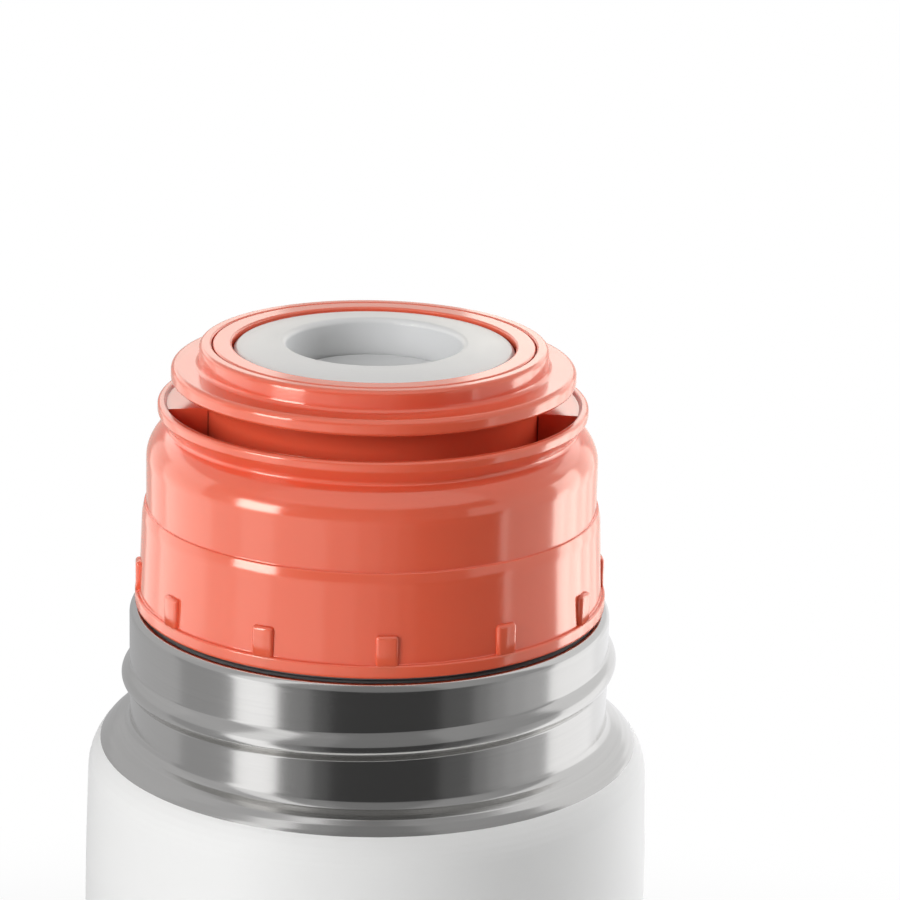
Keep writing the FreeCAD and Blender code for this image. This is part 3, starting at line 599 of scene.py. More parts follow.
def satin_grey_plastic(name, colours):
    """Gives the bezel and button the fine even grain of a spark-eroded mould."""
    return surface(
        name, colours.grey, shade=0.012, grain=12, bump=0.3, depth=0.006, roughness=(0.36, 0.46),
    )


def satin_pale_plastic(name, colours):
    """Gives the plug and valve the plain look of food-grade plastic."""
    return surface(
        name, colours.pale, shade=0.012, grain=15, bump=0.4, depth=0.004, roughness=(0.32, 0.42),
        **glow(0.15, (1.0, 0.9, 0.8), 1.0),
    )


def satin_turned_steel(name, colours):
    """Gives the neck fine rings round the axis, which draw its reflections out up and down.

    The rings are coarser than polishing marks, which would be too fine to show.
    """
    return surface(
        name, colours.steel, shade=0.02, grain=1.0, bump=0.8, depth=0.001, roughness=(0.15, 0.21),
        stretch=(0.02, 0.02, 6.0), Metallic=1.0,
    )


def drawn_spring_steel(name, colours):
    """Gives the small steel pieces the dull shine of drawn wire."""
    return surface(
        name, colours.steel, shade=0.04, grain=3, bump=0.2, depth=0.003, roughness=(0.22, 0.34),
        Metallic=1.0,
    )


def white_powder_coat(name, colours):
    """Gives the body a soft satin skin with the fine texture of powder paint."""
    return surface(
        name, colours.white, shade=0.006, grain=30, bump=0.35, depth=0.005, roughness=(0.38, 0.46),
    )


def milky_silicone(name, colours):
    """Gives the seals a soft skin that lets a little light in."""
    return surface(
        name, colours.silicone, shade=0.02, grain=8, bump=0.25, depth=0.004,
        roughness=(0.42, 0.55), **glow(0.35, (1.0, 1.0, 1.0), 0.8),
    )


def grey_silicone(name, colours):
    """Gives the foot's pad and the neck gasket a dull rubbery skin with fine dust in it. On the
    gasket its dark tone is painted shade in the gap above the rim.
    """
    return surface(
        name, colours.pad, shade=0.05, grain=4, bump=0.3, depth=0.012, roughness=(0.6, 0.75),
    )


def copper_foil(name, colours):
    """Gives the foil in the vacuum its crinkled metal shine."""
    return surface(
        name, colours.copper, shade=0.05, grain=6, bump=4, depth=0.15, roughness=(0.22, 0.36),
        Metallic=1.0,
    )


def sintered_getter(name, colours):
    """Gives the getter tablet the coarse dark grain of pressed powder."""
    return surface(
        name, colours.getter, shade=0.2, grain=0.5, bump=0.4, depth=0.08, roughness=(0.7, 0.9),
    )


FINISH_OF = {
    "bare_steel": satin_turned_steel,
    "white_paint": white_powder_coat,
    "copper_foil": copper_foil,
    "getter_alloy": sintered_getter,
    "grey_silicone": grey_silicone,
    "clear_silicone": milky_silicone,
    "coral_plastic": glossy_coral_plastic,
    "grey_plastic": satin_grey_plastic,
    "pale_plastic": satin_pale_plastic,
    "spring_steel": drawn_spring_steel,
}


def finish(slot):
    """The finish of a material slot, made once."""
    make = FINISH_OF[slot]
    name = make.__name__
    return bpy.data.materials.get(name) or make(name, bpy.context.scene.flask_finishes)


# Flask
def steel_wire(sizes):
    """The outline of the outer steel wall from rim to foot."""
    cove_z = sizes.rim_z - sizes.neck_length
    shoulder_radius = sizes.body_radius - sizes.body_taper
    shoulder_z = cove_z - (shoulder_radius - sizes.neck_radius) * math.tan(sizes.shoulder_slope)
    points = [
        (sizes.neck_bore + sizes.wall, sizes.rim_z),
        (sizes.neck_radius, sizes.rim_z, sizes.rim_rounding),
        (sizes.neck_radius, cove_z, sizes.cove_rounding),
        (shoulder_radius, shoulder_z, sizes.shoulder_rounding),
        (sizes.body_radius, shoulder_z - sizes.taper_length, sizes.taper_rounding),
        (sizes.body_radius, sizes.foot_z, sizes.foot_rounding),
        (sizes.body_radius - sizes.foot_turn_in, sizes.foot_z),
    ]
    return wire(points, closed=False)


class FLASK_OT_body(bpy.types.Operator):
    """Builds the painted body under the paint line"""

    bl_idname = "flask.body"
    bl_label = "Painted Body"

    def execute(self, context):
        sizes = context.scene.flask_sizes
        bm = spun(steel_wire(sizes))
        kept(bm, sizes.paint_z, above=False)
        piece("painted_body", thickened(bm, sizes.wall), "outer_body")
        return {"FINISHED"}


class FLASK_OT_neck(bpy.types.Operator):
    """Builds the bare steel neck with its rolled thread"""

    bl_idname = "flask.neck"
    bl_label = "Threaded Neck"

    def roll_thread(self, bm, sizes):
        """Presses the thread out of the neck's wall."""
        for vert in bm.verts:
            turn = from_front(vert)
            middle = sizes.rim_z - sizes.bead_drop + sizes.bead_lead * turn / FULL_TURN
            across = (vert.co.z - middle) / (sizes.bead_width / 2)
            if abs(across) < 1:
                shown = eased((sizes.bead_reach - abs(turn)) / sizes.bead_fade)
                height = sizes.bead_height * shown * (1 - across**2) ** sizes.bead_power
                moved_out(vert, vert.co.xy.length + height)

    def execute(self, context):
        sizes = context.scene.flask_sizes
        bm = steel_wire(sizes)
        wall = [edge for edge in bm.edges if edge.calc_length() > sizes.neck_length / 2]
        wall = [edge for edge in wall if all(vert.co.z > sizes.paint_z for vert in edge.verts)]
        bmesh.ops.subdivide_edges(bm, edges=wall, cuts=round(sizes.neck_length / ROW))
        spun(bm)
        kept(bm, sizes.paint_z, above=True)
        self.roll_thread(bm, sizes)
        piece("threaded_neck", thickened(bm, sizes.wall), "neck_shell")
        return {"FINISHED"}


class FLASK_OT_vessel(bpy.types.Operator):
    """Builds the vessel that holds the drink, with the stopper's thread in its neck"""

    bl_idname = "flask.vessel"
    bl_label = "Inner Vessel"

    def execute(self, context):
        sizes, screw = context.scene.flask_sizes, context.scene.flask_screw
        stopper = context.scene.flask_stopper
        neck_z = sizes.rim_z - sizes.vessel_neck
        points = [
            (sizes.neck_bore, sizes.rim_z),
            (sizes.neck_bore, neck_z, sizes.vessel_shoulder / 2),
            (sizes.vessel_radius, neck_z - sizes.vessel_shoulder, sizes.vessel_shoulder / 2),
            (sizes.vessel_radius, sizes.vessel_floor, sizes.vessel_rounding),
            (0, sizes.vessel_floor),
        ]
        wall = thickened(turned(points, closed=False), -sizes.wall)
        root, crest = sizes.neck_bore + screw.sink, stopper.plug_radius + screw.crest_gap
        ridge = screw_ridge(screw, root, crest, sizes.rim_z - screw.drop)
        piece("drink_vessel", joined(wall, ridge), "inner_vessel")
        return {"FINISHED"}


class FLASK_OT_pad(bpy.types.Operator):
    """Builds the soft pad in the foot"""

    bl_idname = "flask.pad"
    bl_label = "Foot Pad"

    def execute(self, context):
        sizes = context.scene.flask_sizes
        tread = sizes.pad_radius - sizes.pad_tread
        points = [
            (0, sizes.pad_recess),
            (tread - sizes.pad_recess, sizes.pad_recess, sizes.pad_recess / 2),
            (tread, 0, sizes.pad_recess / 2),
            (sizes.pad_radius, 0, sizes.pad_recess),
            (sizes.pad_radius, sizes.pad_top, sizes.pad_recess / 4),
            (0, sizes.pad_top),
        ]
        piece("foot_pad", turned(points, closed=False), "base_pad")
        return {"FINISHED"}


# Stopper
class FLASK_OT_shell(bpy.types.Operator):
    """Builds the stopper's shell with its lugs, pouring lip and web"""

    bl_idname = "flask.shell"
    bl_label = "Stopper Shell"

    def lugs(self, sizes, skirt, lug_top):
        """The ring of rounded grip lugs."""
        bm = bmesh.new()
        outside = sizes.flange_radius - sizes.lug_inset
        inside, under = skirt - 2 * sizes.flange_proud, sizes.flange_z + sizes.flange_height / 2
        shape = Matrix.Diagonal((sizes.lug_width, outside - inside, lug_top - under, 1))
        middle = Matrix.Translation((0, -(outside + inside) / 2, (lug_top + under) / 2))
        turn = Matrix.Rotation(sizes.lug_angle, 4, "Z")
        bmesh.ops.create_cube(bm, size=1, matrix=turn @ middle @ shape)
        bevelled(bm, bm.edges[:], sizes.lug_edge)
        copies = sizes.lug_count - 1
        bmesh.ops.spin(
            bm,
            geom=bm.verts[:] + bm.edges[:] + bm.faces[:],
            cent=ORIGIN,
            axis=AXIS,
            angle=FULL_TURN * copies / sizes.lug_count,
            steps=copies,
            use_duplicate=True,
        )
        return bm

    def web(self, sizes, throat, throat_z, groove_z, lip):
        """The web that closes the throat behind the pouring mouth."""
        inside = sizes.cup_radius + sizes.fit
        web_z = sizes.lip_z - sizes.web_drop
        points = [
            (inside, throat_z),
            (throat + sizes.lip_wall / 4, throat_z),
            (throat + sizes.lip_wall / 4, groove_z),
            (lip - sizes.lip_flare, web_z),
            (inside, web_z, sizes.lip_edge / 4),
        ]
        bm = wire(points)
        start = Matrix.Rotation(sizes.mouth_reach - math.pi / 2, 4, "Z")
        bmesh.ops.transform(bm, matrix=start, verts=bm.verts[:])
        return swept(bm, FULL_TURN - 2 * sizes.mouth_reach, STEPS // 2)

    def execute(self, context):
        sizes = context.scene.flask_stopper
        flange_top = sizes.flange_z + sizes.flange_height
        step_z = flange_top + sizes.skirt_height
        lug_top = flange_top + sizes.lug_height
        skirt = sizes.flange_radius - sizes.flange_proud
        shell = skirt - sizes.skirt_taper - sizes.skirt_step
        lip = shell - sizes.lip_inset
        groove = lip - sizes.groove_depth
        groove_z = sizes.lip_z - sizes.lip_edge - sizes.groove_height
        shoulder_z = groove_z - sizes.shoulder_fall
        throat = groove - sizes.lip_wall
        throat_z = groove_z - sizes.throat_length
        ledge = sizes.shell_bore - sizes.shell_ledge
        ledge_z = sizes.plug_top + sizes.fit
        roof_z = top("neck_gasket") + sizes.fit / 2
        points = [
            (sizes.shell_bore, roof_z),
            (sizes.recess_radius, roof_z),
            (sizes.recess_radius, sizes.flange_z),
            (sizes.flange_radius, sizes.flange_z, sizes.flange_proud / 2),
            (sizes.flange_radius, flange_top, sizes.flange_proud / 2),
            (skirt, flange_top, sizes.flange_proud / 3),
            (skirt - sizes.skirt_taper, step_z - sizes.skirt_edge, 4 * sizes.skirt_edge),
            (shell + sizes.skirt_step / 2, step_z, sizes.skirt_step / 3),
            (shell, step_z, sizes.skirt_step / 3),
            (shell, shoulder_z, sizes.shoulder_rounding),
            (groove, groove_z, sizes.groove_rounding),
            (lip, sizes.lip_z - sizes.lip_edge, sizes.lip_edge / 3),
            (lip, sizes.lip_z, sizes.lip_edge / 3),
            (lip - sizes.lip_flare, sizes.lip_z, sizes.lip_edge / 4),
            (throat, groove_z, sizes.lip_wall),
            (throat, throat_z, sizes.lip_wall / 2),
            (ledge, shoulder_z - sizes.lip_wall, sizes.lip_wall / 2),
            (ledge, ledge_z),
            (sizes.shell_bore, ledge_z),
        ]
        lugs = self.lugs(sizes, skirt, lug_top)
        web = self.web(sizes, throat, throat_z, groove_z, lip)
        piece("shell_with_lugs", joined(turned(points), lugs, web), "stopper_shell")
        return {"FINISHED"}


class FLASK_OT_cap(bpy.types.Operator):
    """Builds the brimmed cap and the collar in its rim"""

    bl_idname = "flask.cap"
    bl_label = "Cap and Collar"

    def execute(self, context):
        sizes, rings = context.scene.flask_stopper, context.scene.flask_top
        brim_z = sizes.lip_z + sizes.brim_gap
        brim_top = brim_z + sizes.brim_height
        cup_z = sizes.spigot_z + sizes.spigot_length
        floor_z = cup_z + sizes.cup_floor
        bore = sizes.cup_radius - sizes.cup_wall
        band = sizes.cup_radius + sizes.cap_band
        points = [
            (sizes.stem_bore, sizes.spigot_z),
            (sizes.spigot_radius, sizes.spigot_z, sizes.fit),
            (sizes.spigot_radius, cup_z),
            (sizes.cup_radius, cup_z, sizes.cup_wall),
            (sizes.cup_radius, brim_z, sizes.cup_wall / 2),
            (sizes.brim_radius, brim_z, sizes.brim_height / 4),
            (sizes.brim_radius, brim_top, sizes.brim_height / 3),
            (band, brim_top, sizes.cap_band / 2),
            (band - sizes.fit, sizes.cap_z, sizes.cap_band / 2),
            (sizes.seat_radius, sizes.cap_z, sizes.seam),
            (sizes.seat_radius, rings.collar_low),
            (bore, rings.collar_low),
            (bore, floor_z, sizes.cup_wall / 2),
            (sizes.gland_radius, floor_z),
            (sizes.gland_radius, floor_z - sizes.gland_depth),
            (sizes.stem_bore, floor_z - sizes.gland_depth),
        ]
        piece("brimmed_cap", turned(points), "top_cap")
        seat_z = rings.collar_z - rings.seat_drop
        ledge = rings.collar_bore - rings.collar_ledge
        points = [
            (ledge, rings.collar_low),
            (rings.collar_radius, rings.collar_low),
            (rings.collar_radius, rings.collar_z, sizes.seam),
            (rings.collar_bore, rings.collar_z, sizes.seam),
            (rings.collar_bore, seat_z),
            (ledge, seat_z),
        ]
        piece("coral_collar", turned(points), "collar_ring")
        return {"FINISHED"}


class FLASK_OT_plug(bpy.types.Operator):
    """Builds the plug that screws into the neck"""

    bl_idname = "flask.plug"
    bl_label = "Screw Plug"

    def execute(self, context):
        flask, screw = context.scene.flask_sizes, context.scene.flask_screw
        sizes = context.scene.flask_stopper
        collar = sizes.plug_radius + sizes.plug_collar
        collar_z = top("neck_gasket") + 1.5 * sizes.fit
        bore = sizes.plug_radius - sizes.plug_wall
        floor_z = sizes.plug_end + sizes.plug_wall
        groove_low, groove_high = low("shell_seal") - sizes.fit, top("shell_seal") + sizes.fit
        groove = collar - sizes.plug_wall / 2
        points = [
            (sizes.port_radius, sizes.plug_end, sizes.plug_wall / 8),
            (sizes.plug_radius, sizes.plug_end, sizes.plug_wall / 2),
            (sizes.plug_radius, collar_z),
            (collar, collar_z),
            (collar, groove_low),
            (groove, groove_low),
            (groove, groove_high),
            (collar, groove_high),
            (collar, sizes.plug_top),
            (bore, sizes.plug_top),
            (bore, floor_z, sizes.plug_wall),
            (sizes.port_radius, floor_z),
        ]
        root, crest = sizes.plug_radius - screw.sink, sizes.plug_radius + screw.depth
        ridge = screw_ridge(screw, root, crest, flask.rim_z - screw.drop + screw.lead / 2)
        plug = joined(turned(points), ridge, *self.hub(sizes, collar_z, bore))
        piece("screw_plug", plug, "stopper_plug")
        return {"FINISHED"}

    def hub(self, sizes, under, bore):
        """The hub that takes the cap's spigot, and its spokes."""
        outside = sizes.hub_bore + sizes.hub_wall
        edge = sizes.hub_wall / 8
        hub = ring(sizes.hub_bore, outside, under, under + sizes.hub_height, edge)
        inner, outer = outside - sizes.hub_wall / 2, bore + sizes.plug_wall / 2
        middle = Matrix.Translation(((inner + outer) / 2, 0, under + sizes.spoke_height / 2))
        shape = Matrix.Diagonal((outer - inner, sizes.spoke_width, sizes.spoke_height, 1))
        spokes = bmesh.new()
        for i in range(sizes.spoke_count):
            turn = Matrix.Rotation(FULL_TURN * (i + 0.5) / sizes.spoke_count, 4, "Z")
            bmesh.ops.create_cube(spokes, size=1, matrix=turn @ middle @ shape)
        bevelled(spokes, spokes.edges[:], edge)
        return turned(hub, steps=STEPS // 2), spokes


class FLASK_OT_gasket(bpy.types.Operator):
    """Builds the flat gasket between stopper and rim"""

    bl_idname = "flask.gasket"
    bl_label = "Neck Gasket"

    def execute(self, context):
        sizes = context.scene.flask_top
        outside = half_width("neck_gasket")
        under, over = low("neck_gasket"), top("neck_gasket")
        points = ring(sizes.gasket_bore, outside, under, over, sizes.gasket_edge)
        # The gasket's dark finish is painted shade: it makes the gap between stopper and rim read
        # as a shadowed line.
        piece("flat_gasket", turned(points), "neck_gasket")
        return {"FINISHED"}


# Button and valve
class FLASK_OT_bezel(bpy.types.Operator):
    """Builds the grey ring round the button well"""

    bl_idname = "flask.bezel"
    bl_label = "Bezel"

    def execute(self, context):
        sizes = context.scene.flask_top
        under = sizes.bezel_z - sizes.bezel_height
        edge = sizes.bezel_z - sizes.bezel_crown
        tube = sizes.bezel_bore + sizes.bezel_wall
        skirt = sizes.bezel_radius - sizes.bezel_skirt
        seat_z = sizes.collar_z - sizes.seat_drop
        middle = (sizes.bezel_radius + sizes.bezel_bore) / 2
        points = [
            (sizes.bezel_bore, sizes.bezel_low),
            (tube, sizes.bezel_low),
            (tube, under),
            (skirt, under),
            (skirt, seat_z),
            (sizes.bezel_radius, seat_z),
            (sizes.bezel_radius, edge - sizes.bezel_chamfer, sizes.bezel_chamfer / 2),
            (sizes.bezel_radius - sizes.bezel_chamfer, edge, sizes.bezel_chamfer / 2),
            (middle, sizes.bezel_z - sizes.bezel_crown / 4, sizes.bezel_arch),
            (sizes.bezel_bore, sizes.bezel_z, sizes.well_rounding),
        ]
        piece("grey_bezel", turned(points), "bezel_ring")
        return {"FINISHED"}


class FLASK_OT_button(bpy.types.Operator):
    """Builds the dished push button"""

    bl_idname = "flask.button"
    bl_label = "Push Button"

    def execute(self, context):
        sizes = context.scene.flask_top
        skirt = sizes.button_radius - sizes.button_wall
        stop = sizes.button_radius + sizes.stop_width
        stop_z = sizes.button_low + sizes.stop_height
        under = sizes.button_z - sizes.button_top
        boss_z = under - sizes.boss_length
        socket_z = boss_z + sizes.stem_socket
        dish_z = sizes.button_z - sizes.button_dish
        points = [
            (0, dish_z),
            (sizes.button_radius / 2, dish_z, sizes.button_radius),
            (sizes.button_radius - sizes.button_dish, sizes.button_z, sizes.button_dish / 2),
            (sizes.button_radius, sizes.button_z, sizes.button_dish / 2),
            (sizes.button_radius, stop_z),
            (stop, stop_z),
            (stop, sizes.button_low),
            (skirt, sizes.button_low),
            (skirt, under),
            (sizes.boss_radius, under),
            (sizes.boss_radius, boss_z),
            (sizes.stem_radius, boss_z),
            (sizes.stem_radius, socket_z),
            (0, socket_z),
        ]
        piece("dished_button", turned(points, closed=False), "push_button")
        return {"FINISHED"}


class FLASK_OT_valve(bpy.types.Operator):
    """Builds the valve disc and its seal"""

    bl_idname = "flask.valve"
    bl_label = "Valve"

    def execute(self, context):
        sizes = context.scene.flask_top
        disc, seal = half_width("valve_disc"), half_width("valve_seal")
        disc_low, disc_top = low("valve_disc"), top("valve_disc")
        seat_z, seal_top = low("valve_seal"), top("valve_seal")
        boss = sizes.valve_hole - sizes.valve_fit
        points = [
            (sizes.stem_radius, disc_low),
            (disc, disc_low, sizes.valve_edge),
            (disc, seat_z, sizes.valve_fit),
            (boss, seat_z),
            (boss, disc_top, sizes.valve_fit),
            (sizes.stem_radius, disc_top),
        ]
        piece("valve_plate", turned(points, steps=STEPS // 2), "valve_disc")
        points = [
            (sizes.valve_hole, seat_z),
            (seal, seat_z, sizes.seal_edge),
            (seal, seal_top, sizes.seal_edge),
            (sizes.valve_hole, seal_top, sizes.seal_edge),
        ]
        piece("valve_washer", turned(points, steps=STEPS // 2), "valve_seal")
        return {"FINISHED"}


class FLASK_OT_spring(bpy.types.Operator):
    """Winds the return spring at its length at rest; in the flask it shortens when the button is
    pressed
    """

    bl_idname = "flask.spring"
    bl_label = "Return Spring"

    def execute(self, context):
        sizes = context.scene.flask_top
        start, end = low("return_spring"), top("return_spring")
        rise = end - start - 2 * sizes.spring_wire
        steps = round(SPRING_STEPS * sizes.spring_turns)
        bm = bmesh.new()
        stand = Matrix.Translation((sizes.spring_radius, 0, start + sizes.spring_wire))
        stand @= Matrix.Rotation(math.pi / 2, 4, "X")
        bmesh.ops.create_circle(bm, segments=WIRE_SIDES, radius=sizes.spring_wire, matrix=stand)
        swept(bm, FULL_TURN * sizes.spring_turns, steps, rise)
        coil = piece("coil_spring", bm, "return_spring")
        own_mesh(coil)
        return {"FINISHED"}


class FLASK_OT_inner_parts(bpy.types.Operator):
    """Gives their finishes to the pieces that are shown as they are in the frame"""

    bl_idname = "flask.inner_parts"
    bl_label = "Inner Parts"

    def execute(self, context):
        for name, obj in frame["nodes"].items():
            if not obj.hide_render:
                obj.data.materials.clear()
                obj.data.materials.append(finish(SLOT_OF[name]))
        return {"FINISHED"}


# Studio
def strips(start, cards):
    """Start, end and brightness of cards side by side, from the end and brightness of each."""
    starts = [start, *(end for end, brightness in cards)]
    return [(start, end, brightness) for start, (end, brightness) in zip(starts, cards)]


CAMERA_AT = Vector((0, -0.4527, 0.3481))  # fitted to the photograph, as is its aim
CAMERA_AIM = Vector((0.0100, 0, 0.2104))
SENSOR = 36.0  # width of the camera's frame in millimetres
CLIP = (0.01, 50)  # nearest and farthest that the camera sees
WHITE = (1, 1, 1, 1)
FLOOR_COLOUR = (0.86, 0.86, 0.86, 1)
FLOOR_REACH = 6.0  # from the axis to the floor's edges
SHADOW_REACH, WHITE_FROM = 0.16, 0.38  # between these the floor turns white

# Soft lights, with sizes and distances in metres and angles in degrees
LIGHTS = {
    "key_light": {"size": (0.48, 0.5), "azimuth": -46, "elevation": 20, "distance": 1.0},
    "top_light": {"size": (0.9, 0.9), "azimuth": 160, "elevation": 70, "distance": 1.2},
    "fill_light": {"size": (0.3, 0.6), "azimuth": 116, "elevation": 15, "distance": 1.0},
}

# Cards that shiny surfaces reflect, in degrees from the front and brightness
GLOSSY = {"glossy_coral_plastic", "satin_grey_plastic"}  # finishes with cards of their own
COOL, WARM = (0.98, 0.98, 1.0, 1), (1.0, 0.95, 0.87, 1)
STEEL_WALL = strips(-180, [
    (-92, 0.5), (-60, 0.36), (-39, 1.28), (-24, 0.26), (-16, 0.12), (31, 0.055), (46, 0.12),
    (54, 0.24), (62, 0.34), (72, 0.43), (87, 0.5), (125, 1.2), (180, 1.05),
])
STEEL_ROOF = strips(-180, [
    (-92, 0.55), (-60, 0.5), (-39, 1.0), (-16, 0.32), (31, 0.23), (87, 0.36), (180, 0.85),
])
PLASTIC_SKIRT = strips(-180, [
    (-140, 0.8), (-118, 2.0), (-80, 3.4), (-62, 2.6), (-45, 3.4), (-20, 2.4), (-6, 1.6),
    (4, 1.15), (12, 0.8), (20, 0.45), (62, 0.15), (66, 3.2), (96, 1.6), (106, 8.0),
    (118, 6.0), (130, 3.7), (142, 2.3), (180, 1.2),
])
PLASTIC_BOX = strips(-180, [
    (-140, 0.9), (-118, 2.0), (-84, 3.2), (-63, 1.6), (-42, 18.0), (14, 0.7), (44, 0.4),
    (96, 1.8), (118, 6.0), (142, 2.6), (180, 1.2),
])
PLASTIC_BRIM = strips(-150, [
    (-84, 3.4), (-40, 1.4), (14, 0.6), (60, 0.4), (110, 1.6), (174, 3.2), (186, 1.3),
    (210, 2.6),
])
PLASTIC_TOP = strips(-150, [(-60, 1.6), (60, 2.2), (210, 1.5)])

# Rows of cards, with the radius and height of their lower and upper edge
STEEL_RADIUS, PLASTIC_RADIUS, ROOF_HOLE = 0.16, 0.15, 0.002
STEEL_CARDS = [
    ((STEEL_RADIUS, 0.0), (STEEL_RADIUS, 0.20), "wall", STEEL_WALL),
    ((STEEL_RADIUS, 0.20), (STEEL_RADIUS, 0.30), "eaves", STEEL_ROOF),
    ((STEEL_RADIUS, 0.30), (ROOF_HOLE, 0.42), "roof", STEEL_ROOF),
]
PLASTIC_CARDS = [
    ((PLASTIC_RADIUS, 0.14), (PLASTIC_RADIUS, 0.198), "skirt", PLASTIC_SKIRT),
    ((PLASTIC_RADIUS, 0.198), (PLASTIC_RADIUS, 0.25), "box", PLASTIC_BOX),
    ((PLASTIC_RADIUS, 0.25), (PLASTIC_RADIUS, 0.29), "brim", PLASTIC_BRIM),
    ((PLASTIC_RADIUS, 0.29), (ROOF_HOLE, 0.39), "top", PLASTIC_TOP),
]
CARD_SETS = [("steel", STEEL_CARDS, "EXCLUDE"), ("plastic", PLASTIC_CARDS, "INCLUDE")]


def placed_light(name, watts, size, azimuth, elevation, distance):
    """A soft light aimed at the stopper, which reflections don't show.

    Its place is given by its angle from the front, its angle above the horizon and its distance.
    """
    lamp = bpy.data.lights.new(name, "AREA")
    lamp.shape, lamp.energy = "RECTANGLE", watts
    lamp.size, lamp.size_y = size
    obj = bpy.data.objects.new(name, lamp)
    across, up = math.radians(azimuth), math.radians(elevation)
    way = Vector((math.sin(across) * math.cos(up), -math.cos(across) * math.cos(up), math.sin(up)))
    obj.location = CAMERA_AIM + way * distance
    obj.rotation_euler = (-way).to_track_quat("-Z", "Y").to_euler()
    obj.visible_glossy = False
    bpy.context.scene.collection.objects.link(obj)


def stage_object(name, bm, material):
    """An object of the studio."""
    obj = new_object(name, bm, material)
    return obj


def seen_white(tree):
    """1 for what the camera sees directly, in metal or through glass, otherwise 0."""
    path = node(tree, "LightPath").outputs
    inputs = {0: path["Is Camera Ray"], 1: path["Is Glossy Ray"]}
    seen = node(tree, "Math", inputs, operation="ADD")
    inputs = {0: seen.outputs[0], 1: path["Is Transmission Ray"]}
    return node(tree, "Math", inputs, operation="ADD", use_clamp=True).outputs[0]


def is_glossy(obj):
    """True for a piece that shows and has a finish that reflects the plastic's own cards."""
    if obj.type != "MESH" or obj.hide_render or not obj.active_material:
        return False
    return obj.active_material.name in GLOSSY


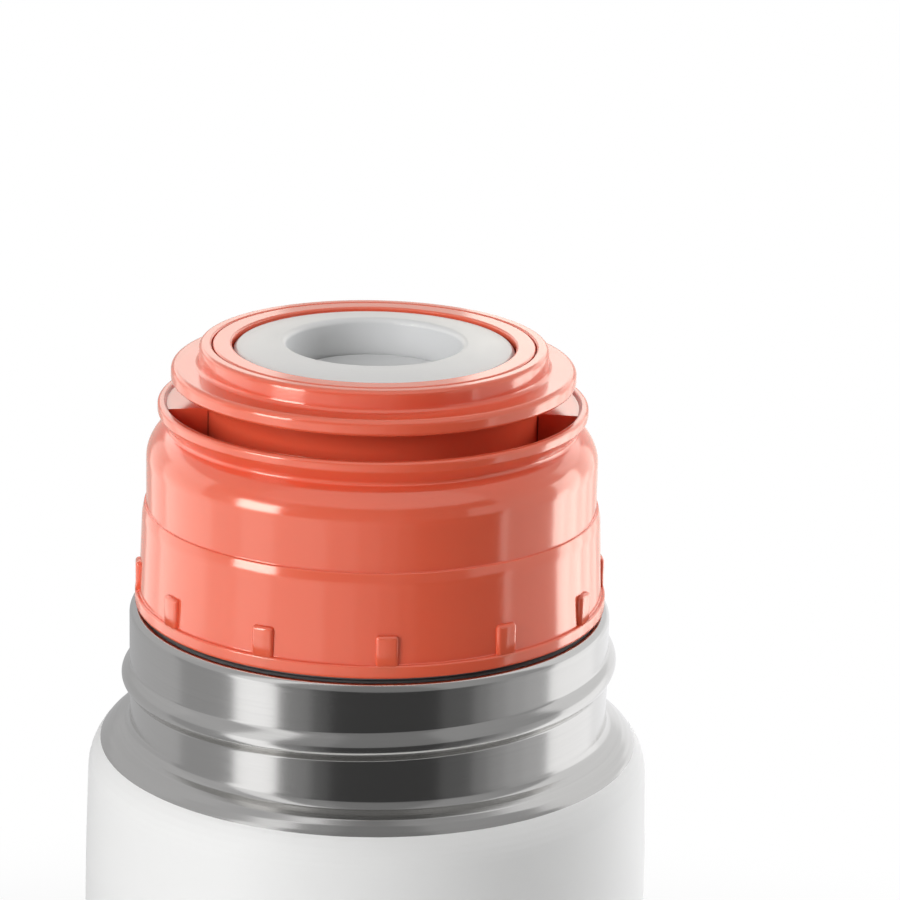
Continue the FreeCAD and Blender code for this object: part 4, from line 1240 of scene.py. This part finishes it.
class FLASK_OT_studio(bpy.types.Operator):
    """Builds the floor, the soft light, the reflected cards and the camera"""

    bl_idname = "flask.studio"
    bl_label = "Studio"

    def make_floor(self):
        """A pale floor that keeps the shadow near the flask and turns white away from it."""
        material, tree = blank("pale_floor")
        pale = node(tree, "BsdfDiffuse", {"Color": FLOOR_COLOUR})
        white = node(tree, "Emission", {"Strength": 1.0})
        place = node(tree, "TexCoord").outputs["Object"]
        away = node(tree, "VectorMath", {0: place}, operation="LENGTH")
        inputs = {0: away.outputs["Value"], 1: SHADOW_REACH, 2: WHITE_FROM, 3: 0.0, 4: 1.0}
        far = node(tree, "MapRange", inputs, interpolation_type="SMOOTHSTEP")
        inputs = {0: far.outputs["Result"], 1: seen_white(tree)}
        share = node(tree, "Math", inputs, operation="MULTIPLY")
        inputs = {0: share.outputs[0], 1: pale.outputs[0], 2: white.outputs[0]}
        mixed = node(tree, "MixShader", inputs)
        node(tree, "OutputMaterial", {"Surface": mixed.outputs[0]})
        bm = bmesh.new()
        bmesh.ops.create_grid(bm, x_segments=1, y_segments=1, size=FLOOR_REACH)
        stage_object("floor", bm, material)

    def make_world(self, ambient):
        """White to look at, and a soft light from all round."""
        world = bpy.data.worlds.new("studio_world")
        bpy.context.scene.world = world
        world.use_nodes = True
        tree = world.node_tree
        tree.nodes.clear()
        light = node(tree, "Background", {"Color": WHITE, "Strength": ambient})
        white = node(tree, "Background", {"Color": WHITE, "Strength": 1.0})
        inputs = {0: seen_white(tree), 1: light.outputs[0], 2: white.outputs[0]}
        mixed = node(tree, "MixShader", inputs)
        node(tree, "OutputWorld", {"Surface": mixed.outputs[0]})

    def card(self, name, start, end, feet, head, brightness, clear):
        """A card round part of the flask that only its shiny surfaces show."""
        material, tree = blank(name + "_glow")
        light = node(tree, "Emission", {"Color": WARM if clear else COOL, "Strength": brightness})
        if clear:
            inputs = {0: light.outputs[0], 1: node(tree, "BsdfTransparent").outputs[0]}
            light = node(tree, "AddShader", inputs)
        node(tree, "OutputMaterial", {"Surface": light.outputs[0]})
        bm = bmesh.new()
        verts = [bm.verts.new((0, -radius, height)) for radius, height in (feet, head)]
        geom = verts + [bm.edges.new(verts)]
        bmesh.ops.transform(bm, matrix=Matrix.Rotation(math.radians(start), 4, "Z"), verts=verts)
        sweep = math.radians(end - start)
        bmesh.ops.spin(bm, geom=geom, cent=ORIGIN, axis=AXIS, angle=sweep, steps=CARD_STEPS)
        card = stage_object(name, bm, material)
        card.visible_camera = card.visible_diffuse = card.visible_shadow = False
        card.visible_transmission = False
        return card

    def make_cards(self, glossy):
        """Cards all round for the steel, and clear ones inside them for the stopper's plastic."""
        for kind, rows, state in CARD_SETS:
            lit = bpy.data.collections.new(kind + "_cards")
            for obj in glossy:
                lit.objects.link(obj)
            for held in lit.collection_objects:
                held.light_linking.link_state = state
            for feet, head, row, cards in rows:
                for i, (start, end, brightness) in enumerate(cards):
                    name = f"{kind}_{row}_{i}"
                    made = self.card(name, start, end, feet, head, brightness, kind == "plastic")
                    made.light_linking.receiver_collection = lit

    def make_camera(self, settings):
        """The photograph's view, from above and in front of the flask."""
        camera = bpy.data.cameras.new("camera")
        camera.sensor_width, camera.lens = SENSOR, settings.lens
        camera.clip_start, camera.clip_end = CLIP
        obj = bpy.data.objects.new("camera", camera)
        obj.location = CAMERA_AT
        aim = (CAMERA_AIM - CAMERA_AT).to_track_quat("-Z", "Y")
        obj.rotation_euler = (aim @ Quaternion(AXIS, settings.roll)).to_euler()
        bpy.context.scene.collection.objects.link(obj)
        bpy.context.scene.camera = obj

    def execute(self, context):
        settings = context.scene.flask_studio
        context.scene.view_settings.view_transform = "Standard"
        glossy = [obj for obj in context.scene.objects if is_glossy(obj)]
        self.make_floor()
        self.make_world(settings.ambient)
        self.make_cards(glossy)
        powers = (settings.key_power, settings.top_power, settings.fill_power)
        for (name, place), watts in zip(LIGHTS.items(), powers):
            placed_light(name, watts, **place)
        self.make_camera(settings)
        return {"FINISHED"}


class FLASK_PT_panel(bpy.types.Panel):
    """Lists the pieces in the sidebar"""

    bl_idname = "FLASK_PT_panel"
    bl_label = "Vacuum Flask"
    bl_space_type = "VIEW_3D"
    bl_region_type = "UI"
    bl_category = "Flask"

    def draw(self, context):
        for operator in OPERATORS:
            self.layout.operator(operator.bl_idname)


GROUPS = {
    "flask_sizes": FlaskSizes,
    "flask_screw": ScrewSizes,
    "flask_stopper": StopperSizes,
    "flask_top": TopSizes,
    "flask_finishes": Finishes,
    "flask_studio": StudioSettings,
}
OPERATORS = [
    FLASK_OT_body,
    FLASK_OT_neck,
    FLASK_OT_vessel,
    FLASK_OT_pad,
    FLASK_OT_shell,
    FLASK_OT_cap,
    FLASK_OT_plug,
    FLASK_OT_gasket,
    FLASK_OT_bezel,
    FLASK_OT_button,
    FLASK_OT_valve,
    FLASK_OT_spring,
    FLASK_OT_inner_parts,
    FLASK_OT_studio,
]


def register():
    """Adds the classes and hangs the property groups on the scene."""
    for group in GROUPS.values():
        bpy.utils.register_class(group)
    for name, group in GROUPS.items():
        setattr(bpy.types.Scene, name, bpy.props.PointerProperty(type=group))
    for item in [*OPERATORS, FLASK_PT_panel]:
        bpy.utils.register_class(item)


def unregister():
    """Takes away what register added."""
    for item in [FLASK_PT_panel, *OPERATORS[::-1]]:
        bpy.utils.unregister_class(item)
    for name, group in GROUPS.items():
        delattr(bpy.types.Scene, name)
        bpy.utils.unregister_class(group)


def main():
    """Builds every piece and the studio."""
    register()
    for operator in OPERATORS:
        group, name = operator.bl_idname.split(".")
        getattr(getattr(bpy.ops, group), name)()


if __name__ == "__main__":
    main()
